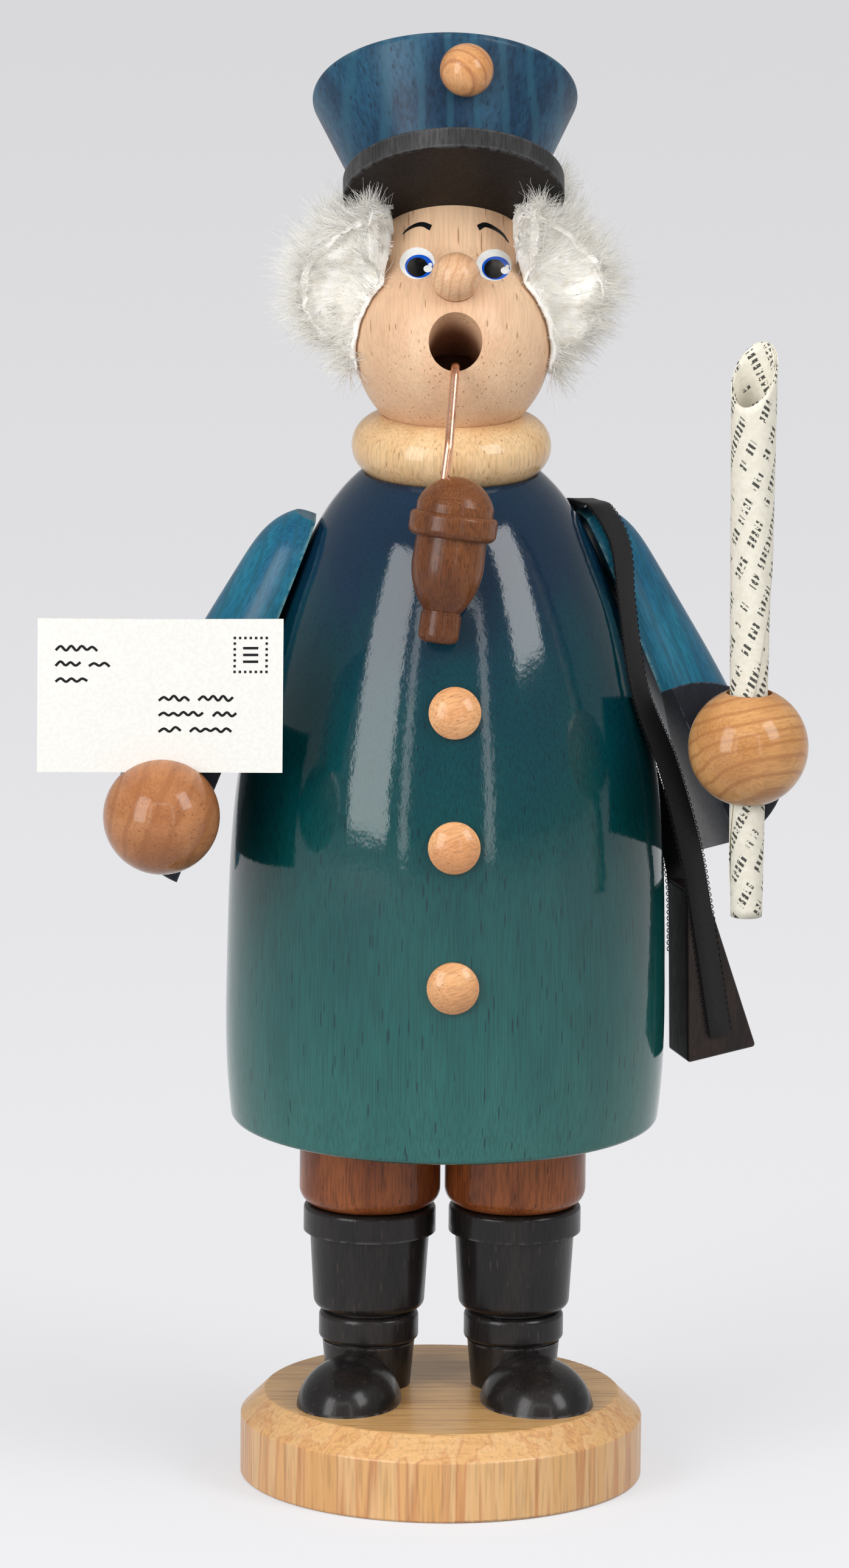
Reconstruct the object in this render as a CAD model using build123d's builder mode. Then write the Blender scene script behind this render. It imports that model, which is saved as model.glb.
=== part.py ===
from build123d import *
import os
from math import cos, radians, sin

# A turned wooden smoking figure: a mailman who stands on a round ash base.
# Millimetres, +Z up, the front looks along -Y, the origin is under the middle of the base.
# Left and right are the viewer's, facing the figure.
# The coat, head, arms and what they carry lift off the plug on the legs as one.

os.makedirs("parts", exist_ok=True)

# Clearances
glue_gap = 0.05
lift_gap = 0.3
rest_gap = 0.05
fur_gap = 0.15
overrun = 1.0

# Base plate
base_radius = 29.6
base_height = 12.6
base_rim_height = 9.1
base_bevel_width = 3.5
base_edge_round = 0.5

# Glued dowels
leg_dowel_radius = 2.0
leg_dowel_reach = 4.5
arm_dowel_radius = 1.5
arm_dowel_reach = 4.0
dowel_spare = 0.2

# Boots, turned in one piece each, seen from the heel up
leg_spread = 10.7
leg_setback = 4.0
heel_radius = 6.2
heel_top_radius = 6.8
heel_height = 6.7
ankle_groove_radius = 6.5
ankle_groove_width = 0.3
ankle_ring_radius = 7.35
ankle_ring_height = 4.3
ankle_ring_foot_round = 0.7
ankle_ring_round = 0.9
shaft_groove_radius = 6.3
shaft_groove_width = 0.4
shaft_foot_radius = 8.1
shaft_top_radius = 8.8
shaft_height = 11.7
shaft_round = 1.4
boot_cuff_radius = 9.75
boot_cuff_height = 4.0
boot_cuff_round = 0.7

# Toe caps: half eggs, glued to the base in front of the heels
toe_splay = 15
left_toe_radius = 7.5
right_toe_radius = 8.2
toe_front_length = 9.4
toe_back_length = 13.0
toe_reach = 12.6
toe_height = 6.8

# Trouser legs
trouser_radius = 10.4
trouser_height = 16.4
trouser_foot_round = 2.6

# Hip plug: the flange carries the coat, the spigot keeps it in place
flange_radius = 25.3
flange_height = 4.95
spigot_radius = 22.5
spigot_height = 7.0
spigot_chamfer = 0.6
air_hole_radius = 2.25
air_hole_reach = 17.5

# Incense tray and its nail
tray_radius = 12.0
tray_wall = 0.4
tray_rim_height = 1.8
tray_recess_depth = 1.0
pin_radius = 0.7
pin_length = 5.0
pin_head_radius = 1.8
pin_head_height = 0.6

# Coat: a hollow turned bell
coat_radius = 32.2
coat_height = 96.5
coat_hem_drop = 7.1
coat_hem_round = 0.8
chamber_height = 50.6
chamber_cone_height = 10.0
smoke_radius = 3.9
coat_skin_shares = (
    (0.972, 0.0), (0.997, 0.1), (0.998, 0.25), (0.963, 0.504),
    (0.863, 0.685), (0.686, 0.858), (0.53, 0.955), (0.405, 1.0),
)

# Neck tube and collar ring
neck_radius = 5.5
neck_socket_depth = 4.8
collar_ring_radius = 9.95
collar_roll_radius = 4.6
collar_sink = 0.7

# Head, leaning back to blow its smoke upwards
head_radius = 14.3
head_rise = 18.6
head_tilt = 38
head_socket_depth = 6.9
forehead_radius = 10.6
forehead_height = 17.5
forehead_hollow_radius = 4.5
mouth_drop = 5.7
mouth_radius = 3.9
nose_radius = 3.6
nose_rise = 3.2
nose_stand = 1.6

# Cap
visor_radius = 16.1
visor_thickness = 3.3
visor_reach = 12.7
visor_edge_round = 0.3
crown_foot_radius = 13.0
crown_top_radius = 19.8
crown_height = 15.5
crown_setback = 2.7
crown_shift = 1.0
crown_edge_round = 0.9
badge_radius = 3.9
badge_turn = 7.4
badge_height = 9.05
badge_sink = 1.6

# Hair: one band of fur round the sides and the back
hair_radius = 25.0
hair_half_height = 15.8
hair_rise = 8.6
hair_setback = 2.0
hair_front_cut = 5.0
hair_parting = 9.3

# Coat buttons
button_radius = 3.8
button_dome_height = 2.3
button_edge = 0.7
button_stem_radius = 1.2
button_stem_length = 4.0
button_height_shares = (0.277, 0.490, 0.688)

# Sleeves: a turned drop, split lengthwise, so each has a flat inner face
shoulder_share = 0.827
sleeve_rise_share = 0.1057
sleeve_length_share = 0.6218
sleeve_rise = sleeve_rise_share * coat_height
sleeve_length = sleeve_length_share * coat_height
sleeve_radius = 13.0
sleeve_tip_radius = 3.2
sleeve_skin_shares = (
    (0.439, 0.049), (0.6, 0.172), (0.723, 0.337), (0.808, 0.46), (0.9385, 0.75), (1.02, 1.0),
)
right_elbow_share = 0.2756
left_elbow_share = 0.3109
right_elbow_drop = right_elbow_share * coat_height
left_elbow_drop = left_elbow_share * coat_height
elbow_reach = 10.4
elbow_mitre = 37.6
elbow_dowel_share = 1.5
right_arm_turn = 11.7
left_arm_turn = 2.0

# Forearms: half rounds cut to the same mitre
forearm_radius = 12.0
forearm_top_length = 10.9
forearm_blank_length = 46.0
right_forearm_tilt = 16
left_forearm_tilt = 4

# Hands
right_hand_radius = 8.73
left_hand_radius = 8.45
right_hand_out = 5.6
left_hand_out = 6.2
left_hand_drop = 2.6
hand_flat_height = 8.0
roll_hole_radius = 3.35
slot_depth = 1.9

# Letter
letter_width = 35.4
letter_height = 22.6
letter_thickness = 0.5
letter_shift = 0.3

# Rolled newspaper
roll_top_radius = 3.6
roll_foot_radius = 2.5
roll_wall = 0.7
roll_above_hand = 59.5
roll_below_hand = 25.1

# Mail bag: a wedge that is thicker at the bottom
bag_turn = 15.6
bag_forward = 8.2
bag_height = 25.9
bag_top_width = 3.0
bag_foot_width = 11.1
bag_foot_shift = 0.5
bag_foot_lift = 1.9
bag_depth = 9.2
bag_rise = 1.6
bag_edge_round = 0.5

# Strap: a woven ribbon. Its free stations are shares of the coat's radius and height.
strap_width = 3.6
strap_thickness = 0.6
strap_front_shares = (
    (0.638, 0.138, 0.944), (0.689, 0.016, 0.941), (0.767, -0.081, 0.894), (0.796, -0.185, 0.808),
    (0.852, -0.325, 0.687), (0.986, -0.255, 0.567), (1.086, -0.190, 0.448),
)
strap_front_turns = (15, 20, 30, 44, 42, 32, 20)
strap_back_shares = (
    (0.576, 0.312, 0.932), (0.538, 0.420, 0.875), (0.630, 0.477, 0.785), (0.785, 0.472, 0.650),
    (0.935, 0.378, 0.515), (1.040, 0.240, 0.395),
)
strap_back_turns = (-10, -45, -53, -58, -60, -30)

# Its ends on the bag's front and back: shares of the bag's foot width and height
strap_front_end_shares = ((0.16, 0.96), (0.48, 0.15))
strap_back_end_shares = ((0.16, 0.96), (0.19, 0.55))

# Pipe: a copper wire and a turned bowl
wire_radius = 0.65
wire_inside_length = 7.5
wire_overhang = 1.8
wire_bend_radius = 2.2
wire_end_bend_radius = 4.0
wire_hole_depth = 4.0
wire_side_shift = 2.1
pipe_forward = 24.0
pipe_foot_forward = 28.0
pipe_top_side = 0.45
pipe_foot_side = -2.65
pipe_height = 24.2
pipe_drop = 14.6
pipe_dome_height = 4.2
pipe_lid_height = 5.4
pipe_dome_radius = 5.6
pipe_bead_radius = 6.4
pipe_bead_height = 3.6
pipe_bead_top_round = 0.75
pipe_bead_foot_round = 1.1
pipe_cup_top_radius = 5.1
pipe_cup_radius = 5.25
pipe_cup_straight = 3.5
pipe_waist_radius = 2.75
pipe_waist_height = 0.4
pipe_foot_radius = 2.95
pipe_foot_height = 4.2
pipe_foot_round = 1.2

# Heights that follow from the sizes above
boot_height = (
    heel_height + ankle_groove_width + ankle_ring_height
    + shaft_groove_width + shaft_height + boot_cuff_height
)
boot_top = base_height + boot_height
plug_foot = boot_top + trouser_height
flange_top = plug_foot + flange_height
plug_top = flange_top + spigot_height
tray_floor = plug_top - tray_recess_depth
coat_seat = flange_top + rest_gap
hem = coat_seat - coat_hem_drop
coat_top = hem + coat_height
collar_level = coat_top + collar_roll_radius - collar_sink

up = Vector(0, 0, 1)
up_in_outline = Vector(0, 1, 0)
head_centre = up * (coat_top + head_rise)
neck_foot = coat_top - neck_socket_depth
neck_top = head_centre.Z - head_radius + head_socket_depth

# The head's own directions: from neck to crown, and out of the face
crownward = Vector(0, sin(radians(head_tilt)), cos(radians(head_tilt)))
faceward = Vector(0, -cos(radians(head_tilt)), sin(radians(head_tilt)))
sideways = Vector(-1, 0, 0)
face_plane = Plane(origin=head_centre, x_dir=faceward, z_dir=sideways)
mouth_plane = Plane(origin=head_centre - crownward * mouth_drop, z_dir=faceward)
visor_plane = Plane(
    origin=head_centre + crownward * forehead_height + faceward * visor_reach,
    x_dir=faceward, z_dir=crownward,
)
crown_origin = (
    visor_plane.origin + crownward * visor_thickness
    - faceward * crown_setback + sideways * crown_shift
)
crown_plane = Plane(origin=crown_origin, x_dir=faceward, z_dir=sideways)
crown_axis = Axis(crown_origin, crownward)


def write(piece, name):
    """label a finished piece and write it as its own file"""
    piece.part.label = name
    export_step(piece.part, f"parts/{name}.step")
    print(name, round(piece.part.volume, 1))


def leg_plane(side):
    """the upright plane through one leg's axis"""
    return Plane(origin=(side * leg_spread, leg_setback, 0), x_dir=(1, 0, 0), z_dir=(0, -1, 0))


def leg_axis(side):
    return Axis((side * leg_spread, leg_setback, 0), (0, 0, 1))


def leg_joint(side, level):
    """where a leg dowel is centred"""
    return Plane(origin=(side * leg_spread, leg_setback, level))


def dowel(place, radius, reach):
    """a glued dowel, centred on the joint between two pieces"""
    with Locations(place):
        Cylinder(radius, 2 * reach)


def dowel_hole(place, radius, reach):
    """the hole for half a dowel and a little glue"""
    with Locations(place):
        Cylinder(radius + glue_gap, 2 * (reach + dowel_spare), mode=Mode.SUBTRACT)


def leg_dowel_hole(side, level):
    dowel_hole(leg_joint(side, level), leg_dowel_radius, leg_dowel_reach)


# The coat's outline: radius across, height up
def draw_coat_skin():
    return Spline(*[(r * coat_radius, hem + h * coat_height) for r, h in coat_skin_shares])


with BuildLine() as coat_skin:
    draw_coat_skin()


def coat_at(height_share):
    """the coat's radius, level and inward lean in degrees at a share of its height"""
    skin = coat_skin.line.edge()
    level = hem + height_share * coat_height
    low, high = 0.0, 1.0
    for _ in range(30):
        middle = (low + high) / 2
        if skin.position_at(middle).Y > level:
            high = middle
        else:
            low = middle
    point = skin.position_at(high)
    return point.X, point.Y, skin.tangent_at(high).get_angle(up_in_outline)


shoulder_radius, shoulder_level, sleeve_lean = coat_at(shoulder_share)


# Base plate
with BuildPart() as base_plate:
    with BuildSketch(Plane.XZ):
        with BuildLine():
            FilletPolyline(
                (0, 0), (base_radius, 0), (base_radius, base_rim_height),
                (base_radius - base_bevel_width, base_height), (0, base_height),
                radius=[base_edge_round] * 3,
            )
            Line((0, base_height), (0, 0))
        make_face()
    revolve()
    for side in (-1, 1):
        leg_dowel_hole(side, base_height)
write(base_plate, "base_plate")


def make_boot(side):
    level = base_height + heel_height
    ring_foot = level + ankle_groove_width
    ring_top = ring_foot + ankle_ring_height
    shaft_foot = ring_top + shaft_groove_width
    shaft_top = shaft_foot + shaft_height
    with BuildPart() as boot:
        with BuildSketch(leg_plane(side)):
            with BuildLine():
                FilletPolyline(
                    (0, base_height), (heel_radius, base_height), (heel_top_radius, level),
                    (ankle_groove_radius, level), (ankle_groove_radius, ring_foot),
                    (ankle_ring_radius, ring_foot), (ankle_ring_radius, ring_top),
                    (shaft_groove_radius, ring_top), (shaft_groove_radius, shaft_foot),
                    (shaft_foot_radius, shaft_foot), (shaft_top_radius, shaft_top),
                    (boot_cuff_radius, shaft_top), (boot_cuff_radius, boot_top), (0, boot_top),
                    radius=[
                        0, 0, 0, 0, ankle_ring_foot_round, ankle_ring_round, 0, 0,
                        shaft_round, 0, 0, boot_cuff_round,
                    ],
                )
                Line((0, boot_top), (0, base_height))
            make_face()
        revolve(axis=leg_axis(side))
        leg_dowel_hole(side, base_height)
        leg_dowel_hole(side, boot_top)
    return boot


def make_toe(side, radius):
    """half an egg that lies on the base, hollowed behind to fit the heel"""
    forward = Vector(side * sin(radians(toe_splay)), -cos(radians(toe_splay)), 0)
    middle = Vector(side * leg_spread, leg_setback, base_height - (radius - toe_height)) + forward * toe_reach
    egg_plane = Plane(origin=middle, x_dir=forward, z_dir=(0, 0, 1))
    with BuildPart() as toe:
        with BuildSketch(egg_plane):
            with BuildLine():
                EllipticalCenterArc((0, 0), toe_front_length, radius, start_angle=0, arc_size=90)
                EllipticalCenterArc((0, 0), toe_back_length, radius, start_angle=90, arc_size=90)
                Line((-toe_back_length, 0), (toe_front_length, 0))
            make_face()
        revolve(axis=Axis(middle, forward))
        split(bisect_by=Plane.XY.offset(base_height), keep=Keep.TOP)
        with BuildSketch(Plane(origin=(side * leg_spread, leg_setback, base_height))):
            Circle(heel_top_radius + glue_gap)
            with Locations((0, toe_back_length)):
                Rectangle(2 * (heel_top_radius + glue_gap), 2 * toe_back_length)
        extrude(amount=toe_height + overrun, mode=Mode.SUBTRACT)
    return toe


def make_trouser_leg(side):
    with BuildPart() as leg:
        with BuildSketch(leg_plane(side)):
            with BuildLine():
                FilletPolyline(
                    (0, boot_top), (trouser_radius, boot_top), (trouser_radius, plug_foot), (0, plug_foot),
                    radius=[trouser_foot_round, 0],
                )
                Line((0, plug_foot), (0, boot_top))
            make_face()
        revolve(axis=leg_axis(side))
        leg_dowel_hole(side, boot_top)
        leg_dowel_hole(side, plug_foot)
    return leg


for word, side, radius in (("left", -1, left_toe_radius), ("right", 1, right_toe_radius)):
    write(make_boot(side), f"{word}_boot")
    write(make_toe(side, radius), f"{word}_toe")
    write(make_trouser_leg(side), f"{word}_trouser_leg")

with BuildPart() as leg_dowels:
    for side in (-1, 1):
        for level in (base_height, boot_top, plug_foot):
            dowel(leg_joint(side, level), leg_dowel_radius, leg_dowel_reach)
write(leg_dowels, "leg_dowels")

# Hip plug with its two air holes and the round recess for the tray
with BuildPart() as hip_plug:
    with BuildSketch(Plane.XZ):
        with BuildLine():
            FilletPolyline(
                (0, plug_foot), (flange_radius, plug_foot), (flange_radius, flange_top),
                (spigot_radius, flange_top), (spigot_radius, plug_top), (0, plug_top),
                radius=[base_edge_round, base_edge_round, 0, spigot_chamfer],
            )
            Line((0, plug_top), (0, plug_foot))
        make_face()
    revolve()
    with BuildSketch(Plane.XY.offset(plug_top)):
        Circle(tray_radius + lift_gap)
    extrude(amount=-tray_recess_depth, mode=Mode.SUBTRACT)
    with Locations(*[(0, way * air_hole_reach, plug_top) for way in (-1, 1)]):
        Hole(air_hole_radius)
    with Locations((0, 0, tray_floor)):
        Hole(pin_radius + glue_gap, depth=pin_length + dowel_spare)
    for side in (-1, 1):
        leg_dowel_hole(side, plug_foot)
write(hip_plug, "hip_plug")

# Incense tray: a pressed dish
with BuildPart() as incense_tray:
    with BuildSketch(Plane.XY.offset(tray_floor)):
        Circle(tray_radius)
    extrude(amount=tray_rim_height)
    with BuildSketch(Plane.XY.offset(tray_floor + tray_wall)):
        Circle(tray_radius - tray_wall)
    extrude(amount=tray_rim_height, mode=Mode.SUBTRACT)
    with Locations((0, 0, tray_floor + tray_wall)):
        Hole(pin_radius + glue_gap)
write(incense_tray, "incense_tray")

# The nail that holds the tray
with BuildPart() as tray_pin:
    with BuildSketch(Plane.XZ):
        with BuildLine():
            head_foot = tray_floor + tray_wall
            Polyline(
                (0, head_foot), (0, head_foot - pin_length), (pin_radius, head_foot - pin_length),
                (pin_radius, head_foot), (pin_head_radius, head_foot),
            )
            TangentArc((0, head_foot + pin_head_height), (pin_head_radius, head_foot), tangent=(1, 0))
            Line((0, head_foot + pin_head_height), (0, head_foot))
        make_face()
    revolve()
write(tray_pin, "tray_pin")


# Arms: directions and planes
def arm_frame(side, arm_turn):
    """outward, forward and down the sleeve, and the plane of the sleeve's flat face"""
    out = Vector(side * cos(radians(arm_turn)), sin(radians(arm_turn)), 0)
    ahead = Vector(side * sin(radians(arm_turn)), -cos(radians(arm_turn)), 0)
    lean = radians(sleeve_lean)
    down = out * sin(lean) - up * cos(lean)
    face = out * cos(lean) + up * sin(lean)
    touch = out * shoulder_radius + up * shoulder_level
    top = touch + face * glue_gap - down * sleeve_rise
    return {
        "out": out, "ahead": ahead, "down": down, "face": face, "touch": touch, "top": top,
        "plane": Plane(origin=top, x_dir=ahead, z_dir=face),
    }


def arm_joints(side, arm_turn, elbow_drop, lift, hand_radius, hand_out, hand_drop):
    """the mitre plane, the forearm's end and the hand, from the sleeve's sizes"""
    arm = arm_frame(side, arm_turn)
    mitre, raised = radians(elbow_mitre), radians(lift)
    corner = arm["top"] + arm["down"] * elbow_drop + arm["ahead"] * elbow_reach
    along = arm["ahead"] * cos(raised) - arm["down"] * sin(raised)
    below = arm["down"] * cos(raised) + arm["ahead"] * sin(raised)
    square = arm["down"] * -sin(mitre) - arm["ahead"] * cos(mitre)
    slope = arm["down"] * cos(mitre) - arm["ahead"] * sin(mitre)
    end = corner + along * forearm_top_length + below * forearm_radius
    wrist = end + arm["face"] * hand_out + below * hand_drop
    arm.update({
        "mitre": Plane(origin=corner, z_dir=square),
        "end": Plane(origin=end, z_dir=along),
        "shoulder_joint": Plane(origin=arm["touch"], z_dir=arm["face"]),
        "elbow_joint": Plane(
            origin=corner + slope * elbow_dowel_share * forearm_radius + arm["face"] * hand_out, z_dir=square),
        "wrist_joint": Plane(origin=wrist, z_dir=along),
        "hand": wrist + along * (hand_radius + glue_gap),
    })
    return arm


left_arm = arm_joints(
    -1, left_arm_turn, left_elbow_drop, left_forearm_tilt, left_hand_radius, left_hand_out, left_hand_drop,
)
right_arm = arm_joints(
    1, right_arm_turn, right_elbow_drop, right_forearm_tilt, right_hand_radius, right_hand_out, 0,
)


def arm_dowel_hole(place):
    dowel_hole(place, arm_dowel_radius, arm_dowel_reach)


def button_planes():
    """one plane square to the coat's front for each button"""
    for share in button_height_shares:
        radius, level, lean = coat_at(share)
        square = Vector(0, -cos(radians(lean)), sin(radians(lean)))
        yield Plane(origin=Vector(0, -radius, level) + square * glue_gap, x_dir=(1, 0, 0), z_dir=square)


# Coat: bored from below for the plug, with a coned smoke chamber
with BuildPart() as coat:
    with BuildSketch(Plane.XZ):
        with BuildLine():
            draw_coat_skin()
            skin_foot = (coat_skin_shares[0][0] * coat_radius, hem)
            skin_top = (coat_skin_shares[-1][0] * coat_radius, coat_top)
            chamber_top = coat_seat + chamber_height
            channel_foot = chamber_top + chamber_cone_height
            Polyline(
                skin_foot, (flange_radius + lift_gap, hem), (flange_radius + lift_gap, coat_seat),
                (spigot_radius + lift_gap, coat_seat), (spigot_radius + lift_gap, chamber_top),
                (smoke_radius, channel_foot), (smoke_radius, neck_foot - glue_gap),
                (neck_radius + glue_gap, neck_foot - glue_gap), (neck_radius + glue_gap, coat_top),
                skin_top,
            )
        make_face()
    revolve()
    hem_edges = coat.edges().filter_by(GeomType.CIRCLE).group_by(Axis.Z)[0]
    fillet(hem_edges.sort_by(SortBy.RADIUS)[-1], coat_hem_round)
    for arm in (left_arm, right_arm):
        arm_dowel_hole(arm["shoulder_joint"])
    for place in button_planes():
        with Locations(place):
            Cylinder(button_stem_radius + glue_gap, 2 * (button_stem_length + dowel_spare),
                     mode=Mode.SUBTRACT)
write(coat, "coat")

# Neck tube: a bored dowel that joins coat, collar ring and head
with BuildPart() as neck_tube:
    with BuildSketch(Plane.XY.offset(neck_foot)):
        Circle(neck_radius)
        Circle(smoke_radius, mode=Mode.SUBTRACT)
    extrude(amount=neck_top - neck_foot)
write(neck_tube, "neck_tube")

# Collar ring, with the seat that the jaw has pressed into it
with BuildPart() as collar_ring:
    with BuildSketch(Plane.XZ):
        with Locations((collar_ring_radius, collar_level)):
            Circle(collar_roll_radius)
        with Locations((0, collar_level)):
            Rectangle(collar_ring_radius, 2 * collar_roll_radius, align=(Align.MIN, Align.CENTER))
        with Locations((0, coat_top)):
            Rectangle(2 * head_radius, 2 * collar_roll_radius, align=(Align.MIN, Align.MAX),
                      mode=Mode.SUBTRACT)
    revolve()
    with Locations((0, 0, head_centre.Z)):
        Sphere(head_radius + glue_gap, mode=Mode.SUBTRACT)
    with Locations((0, 0, collar_level + collar_roll_radius)):
        Hole(neck_radius + glue_gap)
write(collar_ring, "collar_ring")


def head_outline(grow):
    """half the head's outline: a ball that hollows into a round forehead"""
    with BuildSketch(face_plane) as outline:
        Circle(head_radius + grow)
        Rectangle(2 * (forehead_radius + grow), forehead_height + grow, align=(Align.CENTER, Align.MIN))
        hollow = outline.vertices().group_by(Axis.Y)[-2]
        fillet(hollow, forehead_hollow_radius - grow)
        Rectangle(2 * head_radius, 4 * head_radius, align=(Align.MAX, Align.CENTER), mode=Mode.SUBTRACT)
    return outline.sketch


nose_centre = (
    head_centre + crownward * nose_rise
    + faceward * ((head_radius ** 2 - nose_rise ** 2) ** 0.5 + nose_stand)
)

# Head: drilled from below for the neck and the smoke, and through the mouth
with BuildPart() as head:
    revolve(head_outline(0), axis=Axis(head_centre, crownward))
    with BuildSketch(Plane.XY.offset(head_centre.Z - head_radius - overrun)):
        Circle(neck_radius + glue_gap)
    extrude(amount=head_socket_depth + overrun + glue_gap, mode=Mode.SUBTRACT)
    with BuildSketch(Plane.XY.offset(neck_top - overrun)):
        Circle(smoke_radius)
    extrude(amount=head_centre.Z - neck_top, mode=Mode.SUBTRACT)
    with BuildSketch(mouth_plane.offset(-mouth_radius)):
        Circle(mouth_radius)
    extrude(amount=head_radius + mouth_radius + overrun, mode=Mode.SUBTRACT)
    with Locations(nose_centre):
        Sphere(nose_radius + glue_gap, mode=Mode.SUBTRACT)
write(head, "head")

with BuildPart() as nose:
    with Locations(nose_centre):
        Sphere(nose_radius)
write(nose, "nose")


# Cap: a flat disc for the peak and a flared crown
def visor_outline(grow):
    with BuildSketch(visor_plane.offset(-grow)) as outline:
        Circle(visor_radius + grow)
    return outline.sketch


def crown_outline(grow):
    with BuildSketch(crown_plane) as outline:
        with BuildLine():
            FilletPolyline(
                (0, 0), (crown_foot_radius + grow, 0), (crown_top_radius + grow, crown_height),
                (0, crown_height), radius=[0, crown_edge_round],
            )
            Line((0, crown_height), (0, 0))
        make_face()
    return outline.sketch


with BuildPart() as cap_visor:
    extrude(visor_outline(0), amount=visor_thickness)
    fillet(cap_visor.edges(), visor_edge_round)
write(cap_visor, "cap_visor")

badge_radius_out = crown_foot_radius + (crown_top_radius - crown_foot_radius) * badge_height / crown_height
badge_centre = (
    crown_origin + crownward * badge_height
    + faceward.rotate(Axis((0, 0, 0), crownward), badge_turn)
    * (badge_radius_out + badge_radius - badge_sink)
)

with BuildPart() as cap_crown:
    revolve(crown_outline(0), axis=crown_axis)
    with Locations(badge_centre):
        Sphere(badge_radius + glue_gap, mode=Mode.SUBTRACT)
write(cap_crown, "cap_crown")

with BuildPart() as cap_badge:
    with Locations(badge_centre):
        Sphere(badge_radius)
write(cap_badge, "cap_badge")

# Hair: the plump space that the fur fills, open at the face
with BuildPart() as hair:
    hair_level = head_centre.Z + hair_rise
    hair_axis = Axis((0, hair_setback, hair_level), (0, 0, 1))
    with BuildSketch(Plane(origin=(0, hair_setback, hair_level), x_dir=(1, 0, 0), z_dir=(0, -1, 0))):
        Ellipse(hair_radius, hair_half_height)
        Rectangle(2 * hair_radius, 4 * hair_half_height, align=(Align.MAX, Align.CENTER), mode=Mode.SUBTRACT)
    revolve(axis=hair_axis)
    split(bisect_by=Plane(origin=(0, -hair_front_cut, 0), z_dir=(0, 1, 0)), keep=Keep.TOP)
    revolve(head_outline(fur_gap), axis=Axis(head_centre, crownward), mode=Mode.SUBTRACT)
    extrude(visor_outline(fur_gap), amount=visor_thickness + 2 * fur_gap, mode=Mode.SUBTRACT)
    revolve(crown_outline(fur_gap), axis=crown_axis, mode=Mode.SUBTRACT)
    with BuildSketch(Plane.XY.offset(hair_level - 2 * hair_half_height)):
        Rectangle(2 * hair_parting, 2 * hair_radius, align=(Align.CENTER, Align.MAX))
    extrude(amount=4 * hair_half_height, mode=Mode.SUBTRACT)
write(hair, "hair")

# Buttons: shallow turned domes with stems
with BuildPart() as coat_buttons:
    for place in button_planes():
        with BuildSketch(Plane(origin=place.origin, x_dir=(1, 0, 0), z_dir=-place.y_dir)):
            with BuildLine():
                Polyline(
                    (0, -button_stem_length), (button_stem_radius, -button_stem_length),
                    (button_stem_radius, 0), (button_radius, 0), (button_radius, button_edge),
                )
                TangentArc((0, button_dome_height), (button_radius, button_edge), tangent=(1, 0))
                Line((0, button_dome_height), (0, -button_stem_length))
            make_face()
        revolve(axis=Axis(place.origin, place.z_dir))
write(coat_buttons, "coat_buttons")


def make_sleeve(side, arm):
    """a drop turned about the edge of its flat face, cut off at the elbow's mitre"""
    skin = [(r * sleeve_radius, side * h * sleeve_length) for r, h in sleeve_skin_shares]
    tip = (sleeve_tip_radius, 0)
    with BuildPart() as sleeve:
        with BuildSketch(arm["plane"]):
            with BuildLine():
                Line((0, 0), tip)
                Spline(tip, *skin)
                Line(skin[-1], (0, skin[-1][1]))
                Line((0, skin[-1][1]), (0, 0))
            make_face()
        revolve(axis=Axis(arm["top"], arm["down"]))
        split(bisect_by=arm["plane"], keep=Keep.TOP)
        split(bisect_by=arm["mitre"], keep=Keep.TOP)
        arm_dowel_hole(arm["shoulder_joint"])
        arm_dowel_hole(arm["elbow_joint"])
    return sleeve


def make_forearm(arm):
    with BuildPart() as forearm:
        with BuildSketch(arm["end"]):
            Circle(forearm_radius)
        extrude(amount=-forearm_blank_length)
        split(bisect_by=arm["plane"], keep=Keep.TOP)
        split(bisect_by=arm["mitre"].offset(-glue_gap), keep=Keep.BOTTOM)
        arm_dowel_hole(arm["elbow_joint"])
        arm_dowel_hole(arm["wrist_joint"])
    return forearm


for word, side, arm in (("left", -1, left_arm), ("right", 1, right_arm)):
    write(make_sleeve(side, arm), f"{word}_upper_sleeve")
    write(make_forearm(arm), f"{word}_forearm")

with BuildPart() as arm_dowels:
    for arm in (left_arm, right_arm):
        for joint in ("shoulder_joint", "elbow_joint", "wrist_joint"):
            dowel(arm[joint], arm_dowel_radius, arm_dowel_reach)
write(arm_dowels, "arm_dowels")

# Right hand: a bead with a hole from top to bottom for the newspaper
with BuildPart() as right_hand:
    with Locations(right_arm["hand"]):
        Sphere(right_hand_radius)
        Box(3 * right_hand_radius, 3 * right_hand_radius, 2 * hand_flat_height, mode=Mode.INTERSECT)
        Cylinder(roll_hole_radius, 3 * right_hand_radius, mode=Mode.SUBTRACT)
    arm_dowel_hole(right_arm["wrist_joint"])
write(right_hand, "right_hand")

# Left hand: a bead sawn across the top for the letter
slot_floor = left_arm["hand"].Z + left_hand_radius - slot_depth
with BuildPart() as left_hand:
    with Locations(left_arm["hand"]):
        Sphere(left_hand_radius)
    with BuildSketch(Plane(origin=(left_arm["hand"].X, left_arm["hand"].Y, slot_floor))):
        Rectangle(3 * left_hand_radius, letter_thickness + 2 * glue_gap)
    extrude(amount=slot_depth + overrun, mode=Mode.SUBTRACT)
    arm_dowel_hole(left_arm["wrist_joint"])
write(left_hand, "left_hand")

with BuildPart() as letter:
    with BuildSketch(Plane(origin=(left_arm["hand"].X - letter_shift, left_arm["hand"].Y, slot_floor))):
        Rectangle(letter_width, letter_thickness)
    extrude(amount=letter_height)
write(letter, "letter")

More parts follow.
